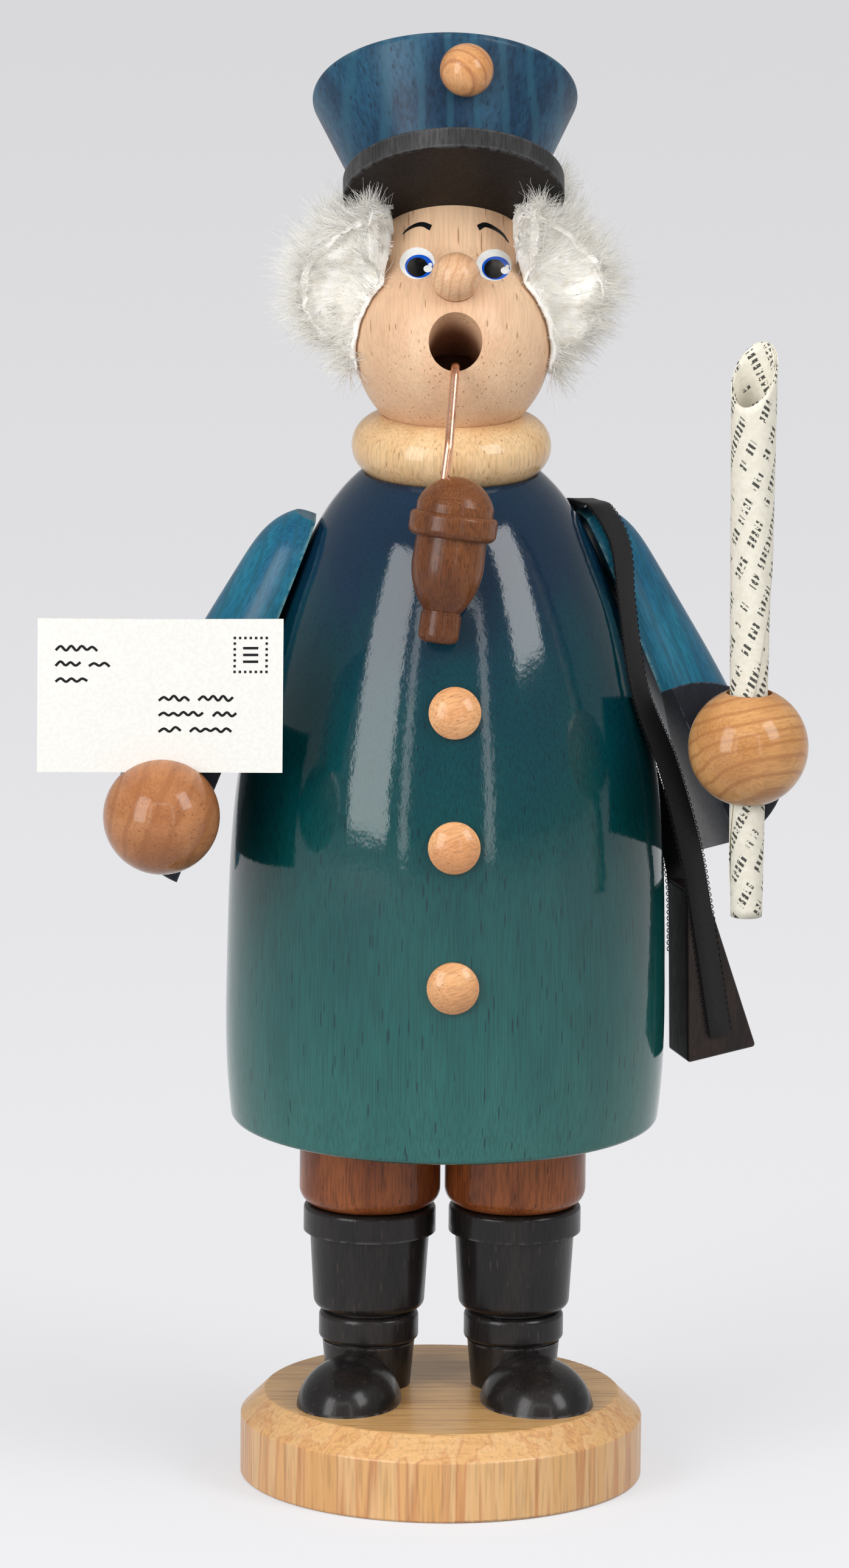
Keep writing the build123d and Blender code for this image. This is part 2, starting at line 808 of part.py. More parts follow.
# Rolled newspaper: a paper tube that narrows towards its foot
with BuildPart() as newspaper_roll:
    roll_axis_plane = Plane(origin=right_arm["hand"], x_dir=(1, 0, 0), z_dir=(0, -1, 0))
    with BuildSketch(roll_axis_plane):
        with BuildLine():
            Polyline(
                (roll_foot_radius - roll_wall, -roll_below_hand), (roll_foot_radius, -roll_below_hand),
                (roll_top_radius, roll_above_hand), (roll_top_radius - roll_wall, roll_above_hand),
                close=True,
            )
        make_face()
    revolve(axis=Axis(right_arm["hand"], (0, 0, 1)))
write(newspaper_roll, "newspaper_roll")

# Mail bag: it hangs at the right hip, the ribbon's thickness off the coat
bag_out = Vector(cos(radians(bag_turn)), sin(radians(bag_turn)), 0)
bag_ahead = Vector(sin(radians(bag_turn)), -cos(radians(bag_turn)), 0)
bag_foot = flange_top + bag_rise
bag_inside = coat_radius + strap_thickness + 2 * glue_gap
bag_front = bag_out * bag_inside + bag_ahead * (bag_forward + bag_depth / 2)
bag_front_plane = Plane(origin=bag_front + up * bag_foot, x_dir=bag_out, z_dir=bag_ahead)
with BuildPart() as mail_bag:
    with BuildSketch(bag_front_plane):
        with BuildLine():
            Polyline(
                (bag_foot_shift, 0), (bag_foot_width, bag_foot_lift), (bag_top_width, bag_height),
                (0, bag_height), close=True,
            )
        make_face()
    extrude(amount=-bag_depth)
    fillet(mail_bag.edges(), bag_edge_round)
write(mail_bag, "mail_bag")


# Strap: a ribbon lofted straight from station to station
def coat_station(x_share, y_share, height_share):
    return Vector(x_share * coat_radius, y_share * coat_radius, hem + height_share * coat_height)


def bag_station(across_share, height_share, face):
    """a station on the bag's front (1) or back (-1) face, half a ribbon proud of it"""
    middle = bag_out * (bag_inside + across_share * bag_foot_width)
    proud = bag_depth / 2 + strap_thickness / 2 + glue_gap
    return middle + bag_ahead * (bag_forward + face * proud) + up * (bag_foot + height_share * bag_height)


with BuildPart() as bag_strap:
    front = [coat_station(*share) for share in strap_front_shares]
    back = [coat_station(*share) for share in strap_back_shares]
    front_end = [bag_station(*share, 1) for share in strap_front_end_shares]
    back_end = [bag_station(*share, -1) for share in strap_back_end_shares]
    stations = [*reversed(back_end), *reversed(back), *front, *front_end]
    turns = [bag_turn] * 2 + [*reversed(strap_back_turns), *strap_front_turns] + [bag_turn] * 2
    for index, (point, turn) in enumerate(zip(stations, turns)):
        before = stations[max(index - 1, 0)]
        after = stations[min(index + 1, len(stations) - 1)]
        along = (after - before).normalized()
        flat = Vector(cos(radians(turn)), sin(radians(turn)), 0)
        across = (flat - along * flat.dot(along)).normalized()
        with BuildSketch(Plane(origin=point, x_dir=across, z_dir=along)):
            Rectangle(strap_width, strap_thickness)
    loft(ruled=True)
write(bag_strap, "bag_strap")

# Pipe bowl: it hangs from the wire in front of the coat
pipe_top = Vector(pipe_top_side, -pipe_forward, head_centre.Z - pipe_drop)
pipe_run = Vector(pipe_foot_side - pipe_top_side, pipe_forward - pipe_foot_forward, 0)
pipe_down = (pipe_run - up * (pipe_height ** 2 - pipe_run.length ** 2) ** 0.5).normalized()
pipe_across = (Vector(1, 0, 0) - pipe_down * pipe_down.X).normalized()
pipe_plane = Plane(origin=pipe_top, x_dir=pipe_across, z_dir=pipe_across.cross(-pipe_down))
wire_entry = pipe_top - pipe_across * wire_side_shift

with BuildPart() as pipe_bowl:
    with BuildSketch(pipe_plane):
        with BuildLine():
            bead_foot = -pipe_lid_height - pipe_bead_height
            cup_bulge = bead_foot - pipe_cup_straight
            foot_top = pipe_foot_height - pipe_height
            waist_top = foot_top + pipe_waist_height
            TangentArc((0, 0), (pipe_dome_radius, -pipe_dome_height), tangent=(1, 0))
            FilletPolyline(
                (pipe_dome_radius, -pipe_dome_height), (pipe_dome_radius, -pipe_lid_height),
                (pipe_bead_radius, -pipe_lid_height), (pipe_bead_radius, bead_foot),
                (pipe_cup_top_radius, bead_foot), (pipe_cup_radius, cup_bulge),
                radius=[0, pipe_bead_top_round, pipe_bead_foot_round, 0],
            )
            TangentArc((pipe_cup_radius, cup_bulge), (pipe_waist_radius, waist_top), tangent=(0, -1))
            FilletPolyline(
                (pipe_waist_radius, waist_top), (pipe_waist_radius, foot_top),
                (pipe_foot_radius, foot_top), (pipe_foot_radius, -pipe_height), (0, -pipe_height),
                radius=[0, 0, pipe_foot_round],
            )
            Line((0, -pipe_height), (0, 0))
        make_face()
    revolve(axis=Axis(pipe_top, pipe_down))
    with Locations(Plane(origin=wire_entry, z_dir=-pipe_down)):
        Cylinder(wire_radius + glue_gap, 2 * (wire_hole_depth + dowel_spare), mode=Mode.SUBTRACT)
write(pipe_bowl, "pipe_bowl")

# Pipe stem: copper wire that lies on the mouth's floor and hooks over the lip
lip_reach = (head_radius ** 2 - (mouth_drop + mouth_radius) ** 2) ** 0.5
mouth_floor = head_centre - crownward * (mouth_drop + mouth_radius - wire_radius - glue_gap)
wire_start = mouth_floor + faceward * (lip_reach - wire_inside_length)
wire_lip = mouth_floor + faceward * (lip_reach + wire_overhang)
wire_end = wire_entry + pipe_down * wire_hole_depth
wire_above = wire_entry - pipe_down * wire_end_bend_radius
with BuildPart() as pipe_stem:
    with BuildLine() as wire_route:
        FilletPolyline(wire_start, wire_lip, wire_above, wire_end,
                       radius=[wire_bend_radius, wire_end_bend_radius])
    with BuildSketch(Plane(origin=wire_start, z_dir=faceward)):
        Circle(wire_radius)
    sweep(path=wire_route.line)
write(pipe_stem, "pipe_stem")
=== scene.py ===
# %% [markdown]
# # A German incense smoker
# The object is a turned wooden mailman who blows the smoke of an incense cone. Every turned piece
# comes from CAD at its real size and place. This lesson gives each piece its stain and lacquer, and
# builds what a lathe can't make: the fur, the ribbon, the letter, the newspaper and the painted eyes.

import math
import random

import bpy
from mathutils import Matrix, Vector, noise
from mathutils.bvhtree import BVHTree


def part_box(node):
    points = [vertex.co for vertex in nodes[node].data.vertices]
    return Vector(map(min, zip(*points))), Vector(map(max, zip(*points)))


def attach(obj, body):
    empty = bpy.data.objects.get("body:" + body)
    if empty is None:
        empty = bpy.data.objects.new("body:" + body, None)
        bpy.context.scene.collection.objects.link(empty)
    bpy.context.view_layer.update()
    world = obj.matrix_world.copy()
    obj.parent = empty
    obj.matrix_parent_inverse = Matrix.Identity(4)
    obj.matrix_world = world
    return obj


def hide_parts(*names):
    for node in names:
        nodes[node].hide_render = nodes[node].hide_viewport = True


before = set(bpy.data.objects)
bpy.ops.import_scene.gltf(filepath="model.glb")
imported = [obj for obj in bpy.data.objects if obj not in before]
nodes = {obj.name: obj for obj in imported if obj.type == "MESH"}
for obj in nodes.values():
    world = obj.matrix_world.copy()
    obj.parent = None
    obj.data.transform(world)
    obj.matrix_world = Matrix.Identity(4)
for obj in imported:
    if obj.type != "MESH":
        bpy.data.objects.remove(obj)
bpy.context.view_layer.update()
mm = 0.001

# %% [markdown]
# A long lens makes a small figure look calm and nearly free of perspective. The camera stands a
# little above the figure and a little to its left. It is turned by 0.6 of a degree about its own
# line of sight, because the photographer's camera wasn't quite level. The lens could be found by
# trying, but here it follows from the real size of a pixel, so the frame fits at once.

# %% Stand the camera where the photographer stood
picture_width, picture_height = 1395, 2576
pixel = 0.0891 * mm
aim = Vector((-3.4, 0, 104.1)) * mm
camera_distance = 2.2
camera_elevation = math.radians(12.5)
camera_azimuth = math.radians(1.8)
camera_roll = math.radians(0.6)

back = Vector((
    -math.sin(camera_azimuth) * math.cos(camera_elevation),
    -math.cos(camera_azimuth) * math.cos(camera_elevation),
    math.sin(camera_elevation),
))
level_right = Vector((0, 0, 1)).cross(back).normalized()
level_up = back.cross(level_right)
camera_right = level_right * math.cos(camera_roll) + level_up * math.sin(camera_roll)
camera_up = level_up * math.cos(camera_roll) - level_right * math.sin(camera_roll)

camera = bpy.data.objects.new("camera", bpy.data.cameras.new("camera"))
bpy.context.scene.collection.objects.link(camera)
camera.data.lens = camera.data.sensor_width * camera_distance / (picture_height * pixel)
camera.matrix_world = (
    Matrix.Translation(aim + back * camera_distance)
    @ Matrix((camera_right, camera_up, back)).transposed().to_4x4()
)
bpy.context.scene.camera = camera
bpy.context.scene.view_settings.view_transform = "Standard"
print("lens in mm:", round(camera.data.lens))


# %% [markdown]
# Painted marks are easiest to place by the picture itself. A ray goes from the camera through a
# pixel and stops on the wood, so a mark lies on the surface wherever the camera is moved later.
# Places in space could be typed in instead, but a pixel can be pointed at.

# %% A ray through a pixel of the picture
def ray_through(x, y):
    across = (x - picture_width / 2) * pixel
    rise = (picture_height / 2 - y) * pixel
    target = aim + camera_right * across + camera_up * rise
    return camera.matrix_world.translation, (target - camera.matrix_world.translation).normalized()


def tree_of(name):
    mesh = nodes[name].data
    return BVHTree.FromPolygons([v.co for v in mesh.vertices], [p.vertices for p in mesh.polygons])


# %% [markdown]
# A shader is a small network of nodes. These helpers add one node each, so that a finish reads as a
# list of layers: a space for the grain, a cloud of noise in it, a range, a mix.

# %% Helpers for shader nodes
def plug(tree, node, values):
    for key, value in values.items():
        if isinstance(value, bpy.types.NodeSocket):
            tree.links.new(value, node.inputs[key])
        else:
            node.inputs[key].default_value = value


def add(tree, kind, values, **settings):
    node = tree.nodes.new("ShaderNode" + kind)
    for key, value in settings.items():
        setattr(node, key, value)
    plug(tree, node, values)
    return node


def new_material(name):
    material = bpy.data.materials.new(name)
    material.use_nodes = True
    tree = material.node_tree
    return material, tree, tree.nodes["Principled BSDF"]


def mix(tree, factor, first, second, way="MIX"):
    node = add(tree, "Mix", {0: factor, 6: first, 7: second}, data_type="RGBA", blend_type=way)
    return node.outputs[2]


def span(tree, value, low, high, first=0.0, last=1.0):
    """a value between low and high, eased to run from first to last"""
    limits = {"Value": value, "From Min": low, "From Max": high, "To Min": first, "To Max": last}
    return add(tree, "MapRange", limits, interpolation_type="SMOOTHSTEP").outputs["Result"]


def combine(tree, operation, first, second=0.0):
    return add(tree, "Math", {0: first, 1: second}, operation=operation).outputs[0]


def times(tree, product, *others):
    """the product of all the values"""
    for other in others:
        product = combine(tree, "MULTIPLY", product, other)
    return product


def bumps(tree, height, strength, depth):
    """a surface that follows a height, with its depth in millimetres"""
    values = {"Height": height, "Strength": strength, "Distance": depth * mm}
    return add(tree, "Bump", values).outputs[0]


def place_on(tree, source="Object"):
    return add(tree, "TexCoord", {}).outputs[source]


def stops(tree, factor, colours):
    """a colour ramp from (place, colour) pairs"""
    node = add(tree, "ValToRGB", {"Fac": factor})
    ramp = node.color_ramp
    while len(ramp.elements) < len(colours):
        ramp.elements.new(0.5)
    for element, (place, colour) in zip(ramp.elements, colours):
        element.position = place
        element.color = colour
    return node.outputs["Color"]


def rgb(red, green, blue):
    return (red, green, blue, 1)


# %% [markdown]
# Wood grain is noise that is stretched along the tree. The texture mapping takes the real width and
# length of one grain cell in millimetres, with its third axis turned along the grain, so a finish
# can be written in sizes that a turner would measure. A photograph of wood would have to be laid
# round every piece, and it would blur close up.

# %% Spaces and clouds for grain
def turned_space(tree, source, turn, cell):
    values = {"Vector": place_on(tree, source), "Rotation": turn, "Scale": cell}
    return add(tree, "Mapping", values, vector_type="TEXTURE").outputs["Vector"]


def grain_space(tree, along, across, length):
    turn = Vector((0, 0, 1)).rotation_difference(Vector(along)).to_euler()
    return turned_space(tree, "Object", turn, (across * mm, across * mm, length * mm))


def sheet_space(tree, size, degrees):
    """a flat space that follows the width and length of a sheet"""
    return turned_space(tree, "UV", (0, 0, math.radians(degrees)), (size * mm, size * mm, 1))


def cloud(tree, space, detail=3.0, roughness=0.5):
    values = {"Vector": space, "Scale": 1.0, "Detail": detail, "Roughness": roughness}
    return add(tree, "TexNoise", values).outputs[0]


def even_cloud(tree, size, detail=3.0, roughness=0.5):
    """a cloud that has no grain"""
    return cloud(tree, grain_space(tree, (0, 0, 1), size, size), detail, roughness)


def flecks(tree, space, small=0.13, large=0.22):
    """short dark pores, one in each cell of the space"""
    cells = add(tree, "TexVoronoi", {"Vector": space, "Scale": 1.0})
    kept = span(tree, add(tree, "SeparateColor", {"Color": cells.outputs[1]}).outputs[0], 0.3, 0.5)
    return times(tree, kept, span(tree, cells.outputs[0], small, large, 1.0, 0.0))


one_wave = math.tau / 20


def ring_lines(tree, along, pitch, wander=6.0):
    """the thin dark lines of yearly growth, a pitch apart"""
    wave = add(tree, "TexWave", {
        "Vector": grain_space(tree, along, pitch, pitch * 5), "Scale": one_wave,
        "Distortion": wander, "Detail": 2.0, "Detail Scale": 0.6,
    }, wave_type="BANDS", bands_direction="X")
    return span(tree, wave.outputs[1], 0.72, 1.0)


def rubbed_edges(tree, reach):
    """a mask that is strong where a sharp edge has been rubbed"""
    values = {"Distance": reach * mm}
    edge = add(tree, "AmbientOcclusion", values, inside=True, only_local=True, samples=8)
    near = span(tree, edge.outputs["AO"], 0.62, 0.93, 1.0, 0.0)
    return times(tree, near, span(tree, even_cloud(tree, 1.3, detail=5.0), 0.4, 0.58))


# %% [markdown]
# One recipe serves every wooden piece. It has a broad drift of colour, fine fibres, pores, yearly
# rings, rubbed edges, and a clear lacquer on top. A finish leaves out what its wood doesn't show.
# Each piece could have a material drawn by hand, but then no two would look like work of one bench.

# %% The recipe for wood
drift_cell = (6, 20)
varnish_cell = (0.6, 1.0)
varnish_depth = 0.02
ring_share, pore_share = 0.6, 0.75


def wood(name, pale=None, dark=None, along=(0, 0, 1), fibre=(0.22, 7), fibre_depth=0.4, pore=None,
         pore_colour=None, ring=None, ring_colour=None, worn=None, worn_reach=0.7, roughness=0.42,
         lacquer=0.5, lacquer_roughness=0.12, relief=0.02, ground=None, mirror=0.2,
         varnish_waves=0.25):
    """a finish whose fibres and pores are given as width and length in millimetres"""
    material, tree, shader = new_material(name)
    drift = span(tree, cloud(tree, grain_space(tree, along, *drift_cell)), 0.35, 0.65)
    colour = ground(tree, drift) if ground else mix(tree, drift, pale, dark)
    fibres = cloud(tree, grain_space(tree, along, *fibre), detail=5.0, roughness=0.6)
    colour = mix(tree, fibre_depth, colour, span(tree, fibres, 0.32, 0.6, 0.2, 1.0), "MULTIPLY")
    height = fibres
    if ring:
        lines = ring_lines(tree, along, ring)
        colour = mix(tree, times(tree, lines, ring_share), colour, ring_colour)
    if pore:
        marks = flecks(tree, grain_space(tree, along, *pore))
        colour = mix(tree, times(tree, marks, pore_share), colour, pore_colour)
        height = combine(tree, "SUBTRACT", height, marks)
    if worn:
        colour = mix(tree, rubbed_edges(tree, worn_reach), colour, worn)
    skin = cloud(tree, grain_space(tree, along, *varnish_cell), detail=3.0)
    plug(tree, shader, {
        "Base Color": colour, "Normal": bumps(tree, height, 0.5, relief),
        "Coat Normal": bumps(tree, skin, varnish_waves, varnish_depth),
        "Roughness": span(tree, fibres, 0.3, 0.7, roughness + 0.08, roughness - 0.04),
        "Coat Weight": lacquer, "Coat Roughness": lacquer_roughness, "Coat IOR": 1.45,
        "Specular IOR Level": mirror * (1 - lacquer),
    })
    return material


def dress(material, *names):
    for name in names:
        nodes[name].data.materials.clear()
        nodes[name].data.materials.append(material)
    print(material.name, "is on", len(names), "pieces")


# %% [markdown]
# The base is ash. On the flat top the grain runs from side to side in thin dark lines, and on the
# rim the same years stand upright, pale honey beside a redder tone. One texture that runs through
# the whole disc could serve, but ash shows such different marks on face and rim that two patterns
# are mixed, and the direction of the surface picks one of them.

# %% The ash of the base
def ash_top(tree):
    """thin dark lines across the flat top"""
    bands = cloud(tree, grain_space(tree, (1, 0, 0), 1.5, 60), detail=2.0)
    pores = cloud(tree, grain_space(tree, (1, 0, 0), 0.16, 4), detail=3.0)
    colour = stops(tree, bands, (
        (0.35, rgb(0.68, 0.38, 0.14)), (0.5, rgb(0.73, 0.43, 0.17)),
        (0.56, rgb(0.50, 0.25, 0.09)), (0.62, rgb(0.71, 0.41, 0.155)),
    ))
    return mix(tree, 0.5, colour, span(tree, pores, 0.3, 0.5, 0.35, 1.0), "MULTIPLY"), pores


def ash_rim(tree):
    """upright stripes round the rim"""
    stripes = cloud(tree, grain_space(tree, (0, 0, 1), 3.6, 90), detail=2.0, roughness=0.6)
    pores = cloud(tree, grain_space(tree, (0, 0, 1), 0.45, 9), detail=3.0)
    colour = stops(tree, stripes, (
        (0.36, rgb(0.74, 0.42, 0.165)), (0.46, rgb(0.76, 0.46, 0.21)),
        (0.53, rgb(0.60, 0.27, 0.10)), (0.58, rgb(0.74, 0.40, 0.155)), (0.66, rgb(0.69, 0.36, 0.13)),
    ))
    return mix(tree, 0.3, colour, span(tree, pores, 0.34, 0.52, 0.3, 1.0), "MULTIPLY"), pores


def make_ash():
    material, tree, shader = new_material("ash")
    normal = add(tree, "NewGeometry", {}).outputs["Normal"]
    upward = add(tree, "SeparateXYZ", {0: normal}).outputs[2]
    top_share = span(tree, upward, 0.55, 0.95)
    top_colour, top_pores = ash_top(tree)
    rim_colour, rim_pores = ash_rim(tree)
    pores = mix(tree, top_share, rim_pores, top_pores)
    plug(tree, shader, {
        "Base Color": mix(tree, top_share, rim_colour, top_colour),
        "Normal": bumps(tree, pores, 0.6, 0.06),
        "Roughness": 0.42, "Coat Weight": 0.35, "Coat Roughness": 0.2,
    })
    return material


dress(make_ash(), "base_plate")

# %% [markdown]
# The boots and toes are stained black and rubbed with satin lacquer. The stain sinks in unevenly, so
# a brown grain shows through and the edges are a little greyer. Plain black would look like
# plastic, so the recipe for wood is kept, with a dark ground. The trousers have a red-brown stain.

# %% Boots, toes and trouser legs
black_stain = wood(
    "black_stain", rgb(0.010, 0.009, 0.009), rgb(0.022, 0.018, 0.017), fibre=(0.3, 3.5),
    fibre_depth=0.55, pore=(0.8, 5), pore_colour=rgb(0.05, 0.035, 0.03),
    worn=rgb(0.075, 0.07, 0.07), worn_reach=0.5, roughness=0.4, lacquer=0.55,
    lacquer_roughness=0.2, relief=0.04,
)
dress(black_stain, "left_boot", "right_boot", "left_toe", "right_toe")

brown_stain = wood(
    "brown_stain", rgb(0.36, 0.105, 0.030), rgb(0.22, 0.058, 0.018), fibre=(0.28, 4),
    fibre_depth=0.6, pore=(0.8, 4), pore_colour=rgb(0.07, 0.02, 0.01), roughness=0.38,
    lacquer=0.5, relief=0.03,
)
dress(brown_stain, "left_trouser_leg", "right_trouser_leg")

# %% [markdown]
# The plug, the dowels and the neck tube are bare beech, because they are hidden. The dish for the
# incense is pressed tinplate. They only show when the figure is lifted off, but a part that can be
# opened has to look right inside too, so they have finishes of their own.

# %% Bare wood and the tin dish
raw_beech = wood(
    "raw_beech", rgb(0.66, 0.47, 0.30), rgb(0.58, 0.39, 0.23), pore=(0.9, 6),
    pore_colour=rgb(0.33, 0.19, 0.1), roughness=0.65, lacquer=0.0, relief=0.04,
)
dress(raw_beech, "hip_plug", "leg_dowels", "arm_dowels", "neck_tube")


def make_tinplate():
    material, tree, shader = new_material("tray_metal")
    brushed = cloud(tree, grain_space(tree, (1, 0, 0), 0.2, 6), detail=4.0)
    soot = span(tree, even_cloud(tree, 5), 0.4, 0.7)
    plug(tree, shader, {
        "Base Color": mix(tree, soot, rgb(0.62, 0.6, 0.56), rgb(0.28, 0.24, 0.2)),
        "Metallic": 1.0, "Roughness": span(tree, brushed, 0.3, 0.7, 0.28, 0.5),
    })
    return material


dress(make_tinplate(), "incense_tray", "tray_pin")

# %% [markdown]
# The coat's stain is petrol blue. It is bluer on the shoulders, greener where it thins out towards
# the hem, and the vertical grain shows through a thick gloss lacquer. The tones could be painted
# on, but a ramp over the height stays soft and one number moves it. The lacquer has slow waves of
# its own, so the lamps are mirrored with wavy borders.

# %% The blue coat
coat_low, coat_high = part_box("coat")
coat_tones = (
    (0.0, rgb(0.024, 0.145, 0.130)), (0.25, rgb(0.008, 0.100, 0.094)),
    (0.55, rgb(0.001, 0.060, 0.066)), (0.78, rgb(0.001, 0.042, 0.060)),
    (0.94, rgb(0.004, 0.024, 0.056)),
)
tone_wander = 8 * mm


def coat_ground(tree, drift):
    """the stain's tone by the height above the hem"""
    rise = add(tree, "SeparateXYZ", {0: place_on(tree)}).outputs[2]
    height = combine(tree, "ADD", rise, times(tree, drift, tone_wander))
    values = {"Value": height, "From Min": coat_low.z, "From Max": coat_high.z}
    return stops(tree, add(tree, "MapRange", values).outputs["Result"], coat_tones)


blue_stain = wood(
    "blue_stain", fibre=(0.16, 9), fibre_depth=0.45, pore=(0.7, 7),
    pore_colour=rgb(0.002, 0.02, 0.03), roughness=0.3, lacquer=1.0, lacquer_roughness=0.085,
    relief=0.012, ground=coat_ground, varnish_waves=0.7,
)
dress(blue_stain, "coat")

# %% [markdown]
# The cap's crown has a bluer stain than the coat, thin enough to show rings and pores. Its rim is
# rubbed pale. The peak is black and greyer on its rim, where the stain didn't take; its underside is
# painted darker still, as painted shade where it faces the floor. Worn edges could be painted by
# hand, but a node that feels how near an edge is finds them after any change.

# %% The cap
head_tilt = math.radians(38)
crownward = Vector((0, math.sin(head_tilt), math.cos(head_tilt)))
faceward = Vector((0, -math.cos(head_tilt), math.sin(head_tilt)))

cap_blue = wood(
    "cap_blue", rgb(0.016, 0.082, 0.150), rgb(0.006, 0.036, 0.082), along=crownward,
    fibre=(0.5, 5), fibre_depth=0.55, pore=(1.0, 7), pore_colour=rgb(0.003, 0.016, 0.036),
    ring=4.4, ring_colour=rgb(0.021, 0.096, 0.152), worn=rgb(0.22, 0.33, 0.36), worn_reach=0.8,
    roughness=0.45, lacquer=0.25, lacquer_roughness=0.28, relief=0.05,
)
dress(cap_blue, "cap_crown")


def visor_ground(tree, drift):
    """the rim is greyer where the stain didn't take; the underside is painted darker as painted shade
    """
    normal = add(tree, "NewGeometry", {}).outputs["Normal"]
    facing = add(tree, "VectorMath", {0: normal, 1: crownward}, operation="DOT_PRODUCT")
    # The underside's deeper black is painted shade, for the side of the peak that faces the floor.
    under = mix(tree, drift, rgb(0.007, 0.005, 0.0045), rgb(0.012, 0.008, 0.007))
    rim = mix(tree, drift, rgb(0.035, 0.035, 0.036), rgb(0.070, 0.070, 0.072))
    return mix(tree, span(tree, facing.outputs["Value"], -0.85, -0.4), under, rim)


visor_black = wood(
    "visor_black", along=crownward, fibre=(0.35, 3), fibre_depth=0.6, worn=rgb(0.10, 0.10, 0.105),
    worn_reach=0.7, roughness=0.55, lacquer=0.12, lacquer_roughness=0.3, relief=0.04,
    ground=visor_ground, mirror=0.15,
)
dress(visor_black, "cap_visor")

# %% [markdown]
# A sleeve is half of a turned drop, so its grain runs down the arm. Its stain is lighter than the
# coat's, and the sharp front edge is rubbed pale. One material could dress both arms, but the
# grain of each has its own slope, so a loop makes two. The forearms are nearly black.

# %% The sleeves and forearms
sleeve_lean = math.radians(21.5)


def arm_grain(side):
    return (side * math.sin(sleeve_lean), 0, -math.cos(sleeve_lean))


for word, side in (("left", -1), ("right", 1)):
    sleeve_blue = wood(
        word + "_sleeve_blue", rgb(0.012, 0.165, 0.260), rgb(0.007, 0.105, 0.200),
        along=arm_grain(side), fibre=(0.3, 6), fibre_depth=0.5, ring=1.9,
        ring_colour=rgb(0.010, 0.085, 0.135), worn=rgb(0.11, 0.25, 0.28), worn_reach=0.6,
        roughness=0.42, lacquer=0.4, lacquer_roughness=0.22, relief=0.03,
    )
    dress(sleeve_blue, word + "_upper_sleeve")

navy_stain = wood(
    "navy_stain", rgb(0.006, 0.008, 0.014), rgb(0.014, 0.018, 0.028), fibre=(0.4, 3),
    fibre_depth=0.5, pore=(0.9, 2.5), pore_colour=rgb(0.004, 0.004, 0.006),
    worn=rgb(0.06, 0.065, 0.08), worn_reach=0.35, roughness=0.5, lacquer=0.2,
    lacquer_roughness=0.3, relief=0.05,
)
dress(navy_stain, "left_forearm", "right_forearm")

# %% [markdown]
# Head, nose and collar are clear lacquered beech, full of short dark flecks. The mouth is drilled,
# and its wall gets darker the deeper it goes, as smoke and shadow make it. The wall could be cut
# off as a piece of its own. Here the distance from the ball's centre tells the shader what is deep.

# %% The face, the nose and the collar
head_centre = Vector((0, 0, coat_high.z + 18.6 * mm))
head_radius = 14.3 * mm
darkest_at, clean_from = 7 * mm, head_radius - 0.3 * mm


def face_ground(tree, drift):
    """clean skin outside; in the mouth, wood darkened by smoke and by painted shade"""
    values = {0: place_on(tree), 1: head_centre}
    centred = add(tree, "VectorMath", values, operation="SUBTRACT").outputs[0]
    reach = add(tree, "VectorMath", {0: centred}, operation="LENGTH").outputs["Value"]
    skin = mix(tree, drift, rgb(0.80, 0.54, 0.345), rgb(0.73, 0.46, 0.285))
    # The mouth's dark is partly soot and partly painted shade, growing deeper further into the hole.
    smoke_and_shade = mix(tree, drift, rgb(0.16, 0.065, 0.035), rgb(0.22, 0.10, 0.055))
    return mix(tree, span(tree, reach, darkest_at, clean_from, 1.0, 0.0), skin, smoke_and_shade)


face_beech = wood(
    "face_beech", along=crownward, fibre=(0.3, 7), fibre_depth=0.2, pore=(0.7, 8),
    pore_colour=rgb(0.32, 0.15, 0.07), roughness=0.45, lacquer=0.25, lacquer_roughness=0.2,
    relief=0.02, ground=face_ground,
)
dress(face_beech, "head")

nose_beech = wood(
    "nose_beech", rgb(0.78, 0.50, 0.30), rgb(0.68, 0.39, 0.22), along=(0.3, 1, 0.2),
    fibre=(0.3, 5), fibre_depth=0.25, ring=1.5, ring_colour=rgb(0.55, 0.28, 0.14), roughness=0.32,
    lacquer=0.5, relief=0.01,
)
dress(nose_beech, "nose")

pale_wood = wood(
    "pale_wood", rgb(0.80, 0.55, 0.30), rgb(0.73, 0.46, 0.23), fibre=(0.35, 6), fibre_depth=0.3,
    pore=(0.65, 7), pore_colour=rgb(0.34, 0.155, 0.06), roughness=0.35, lacquer=0.6, relief=0.02,
)
dress(pale_wood, "collar_ring")

# %% [markdown]
# Buttons, badge and hands are small beads. Each was cut from another stick, so their grain runs in
# different directions and their tones differ: the left hand is the darkest, the buttons are the
# palest. One finish for all would be quicker, and it would look as if they were moulded.

# %% Beads and buttons
button_wood = wood(
    "button_wood", rgb(0.80, 0.43, 0.20), rgb(0.70, 0.32, 0.135), along=(1, 0.2, 0.3),
    fibre=(0.25, 3), fibre_depth=0.35, pore=(0.6, 1.8), pore_colour=rgb(0.42, 0.17, 0.07),
    roughness=0.32, lacquer=0.6, relief=0.02,
)
dress(button_wood, "coat_buttons")

badge_wood = wood(
    "badge_wood", rgb(0.72, 0.37, 0.16), rgb(0.62, 0.28, 0.10), along=(0.35, 0.2, -1),
    fibre=(0.25, 4), fibre_depth=0.3, ring=1.8, ring_colour=rgb(0.38, 0.14, 0.055),
    roughness=0.32, lacquer=0.6, relief=0.02,
)
dress(badge_wood, "cap_badge")

right_hand_wood = wood(
    "right_hand_wood", rgb(0.66, 0.34, 0.13), rgb(0.54, 0.25, 0.085), along=(1, 0.5, 0.06),
    fibre=(0.3, 3), fibre_depth=0.3, ring=2.1, ring_colour=rgb(0.38, 0.15, 0.05), roughness=0.3,
    lacquer=0.6, relief=0.02,
)
dress(right_hand_wood, "right_hand")

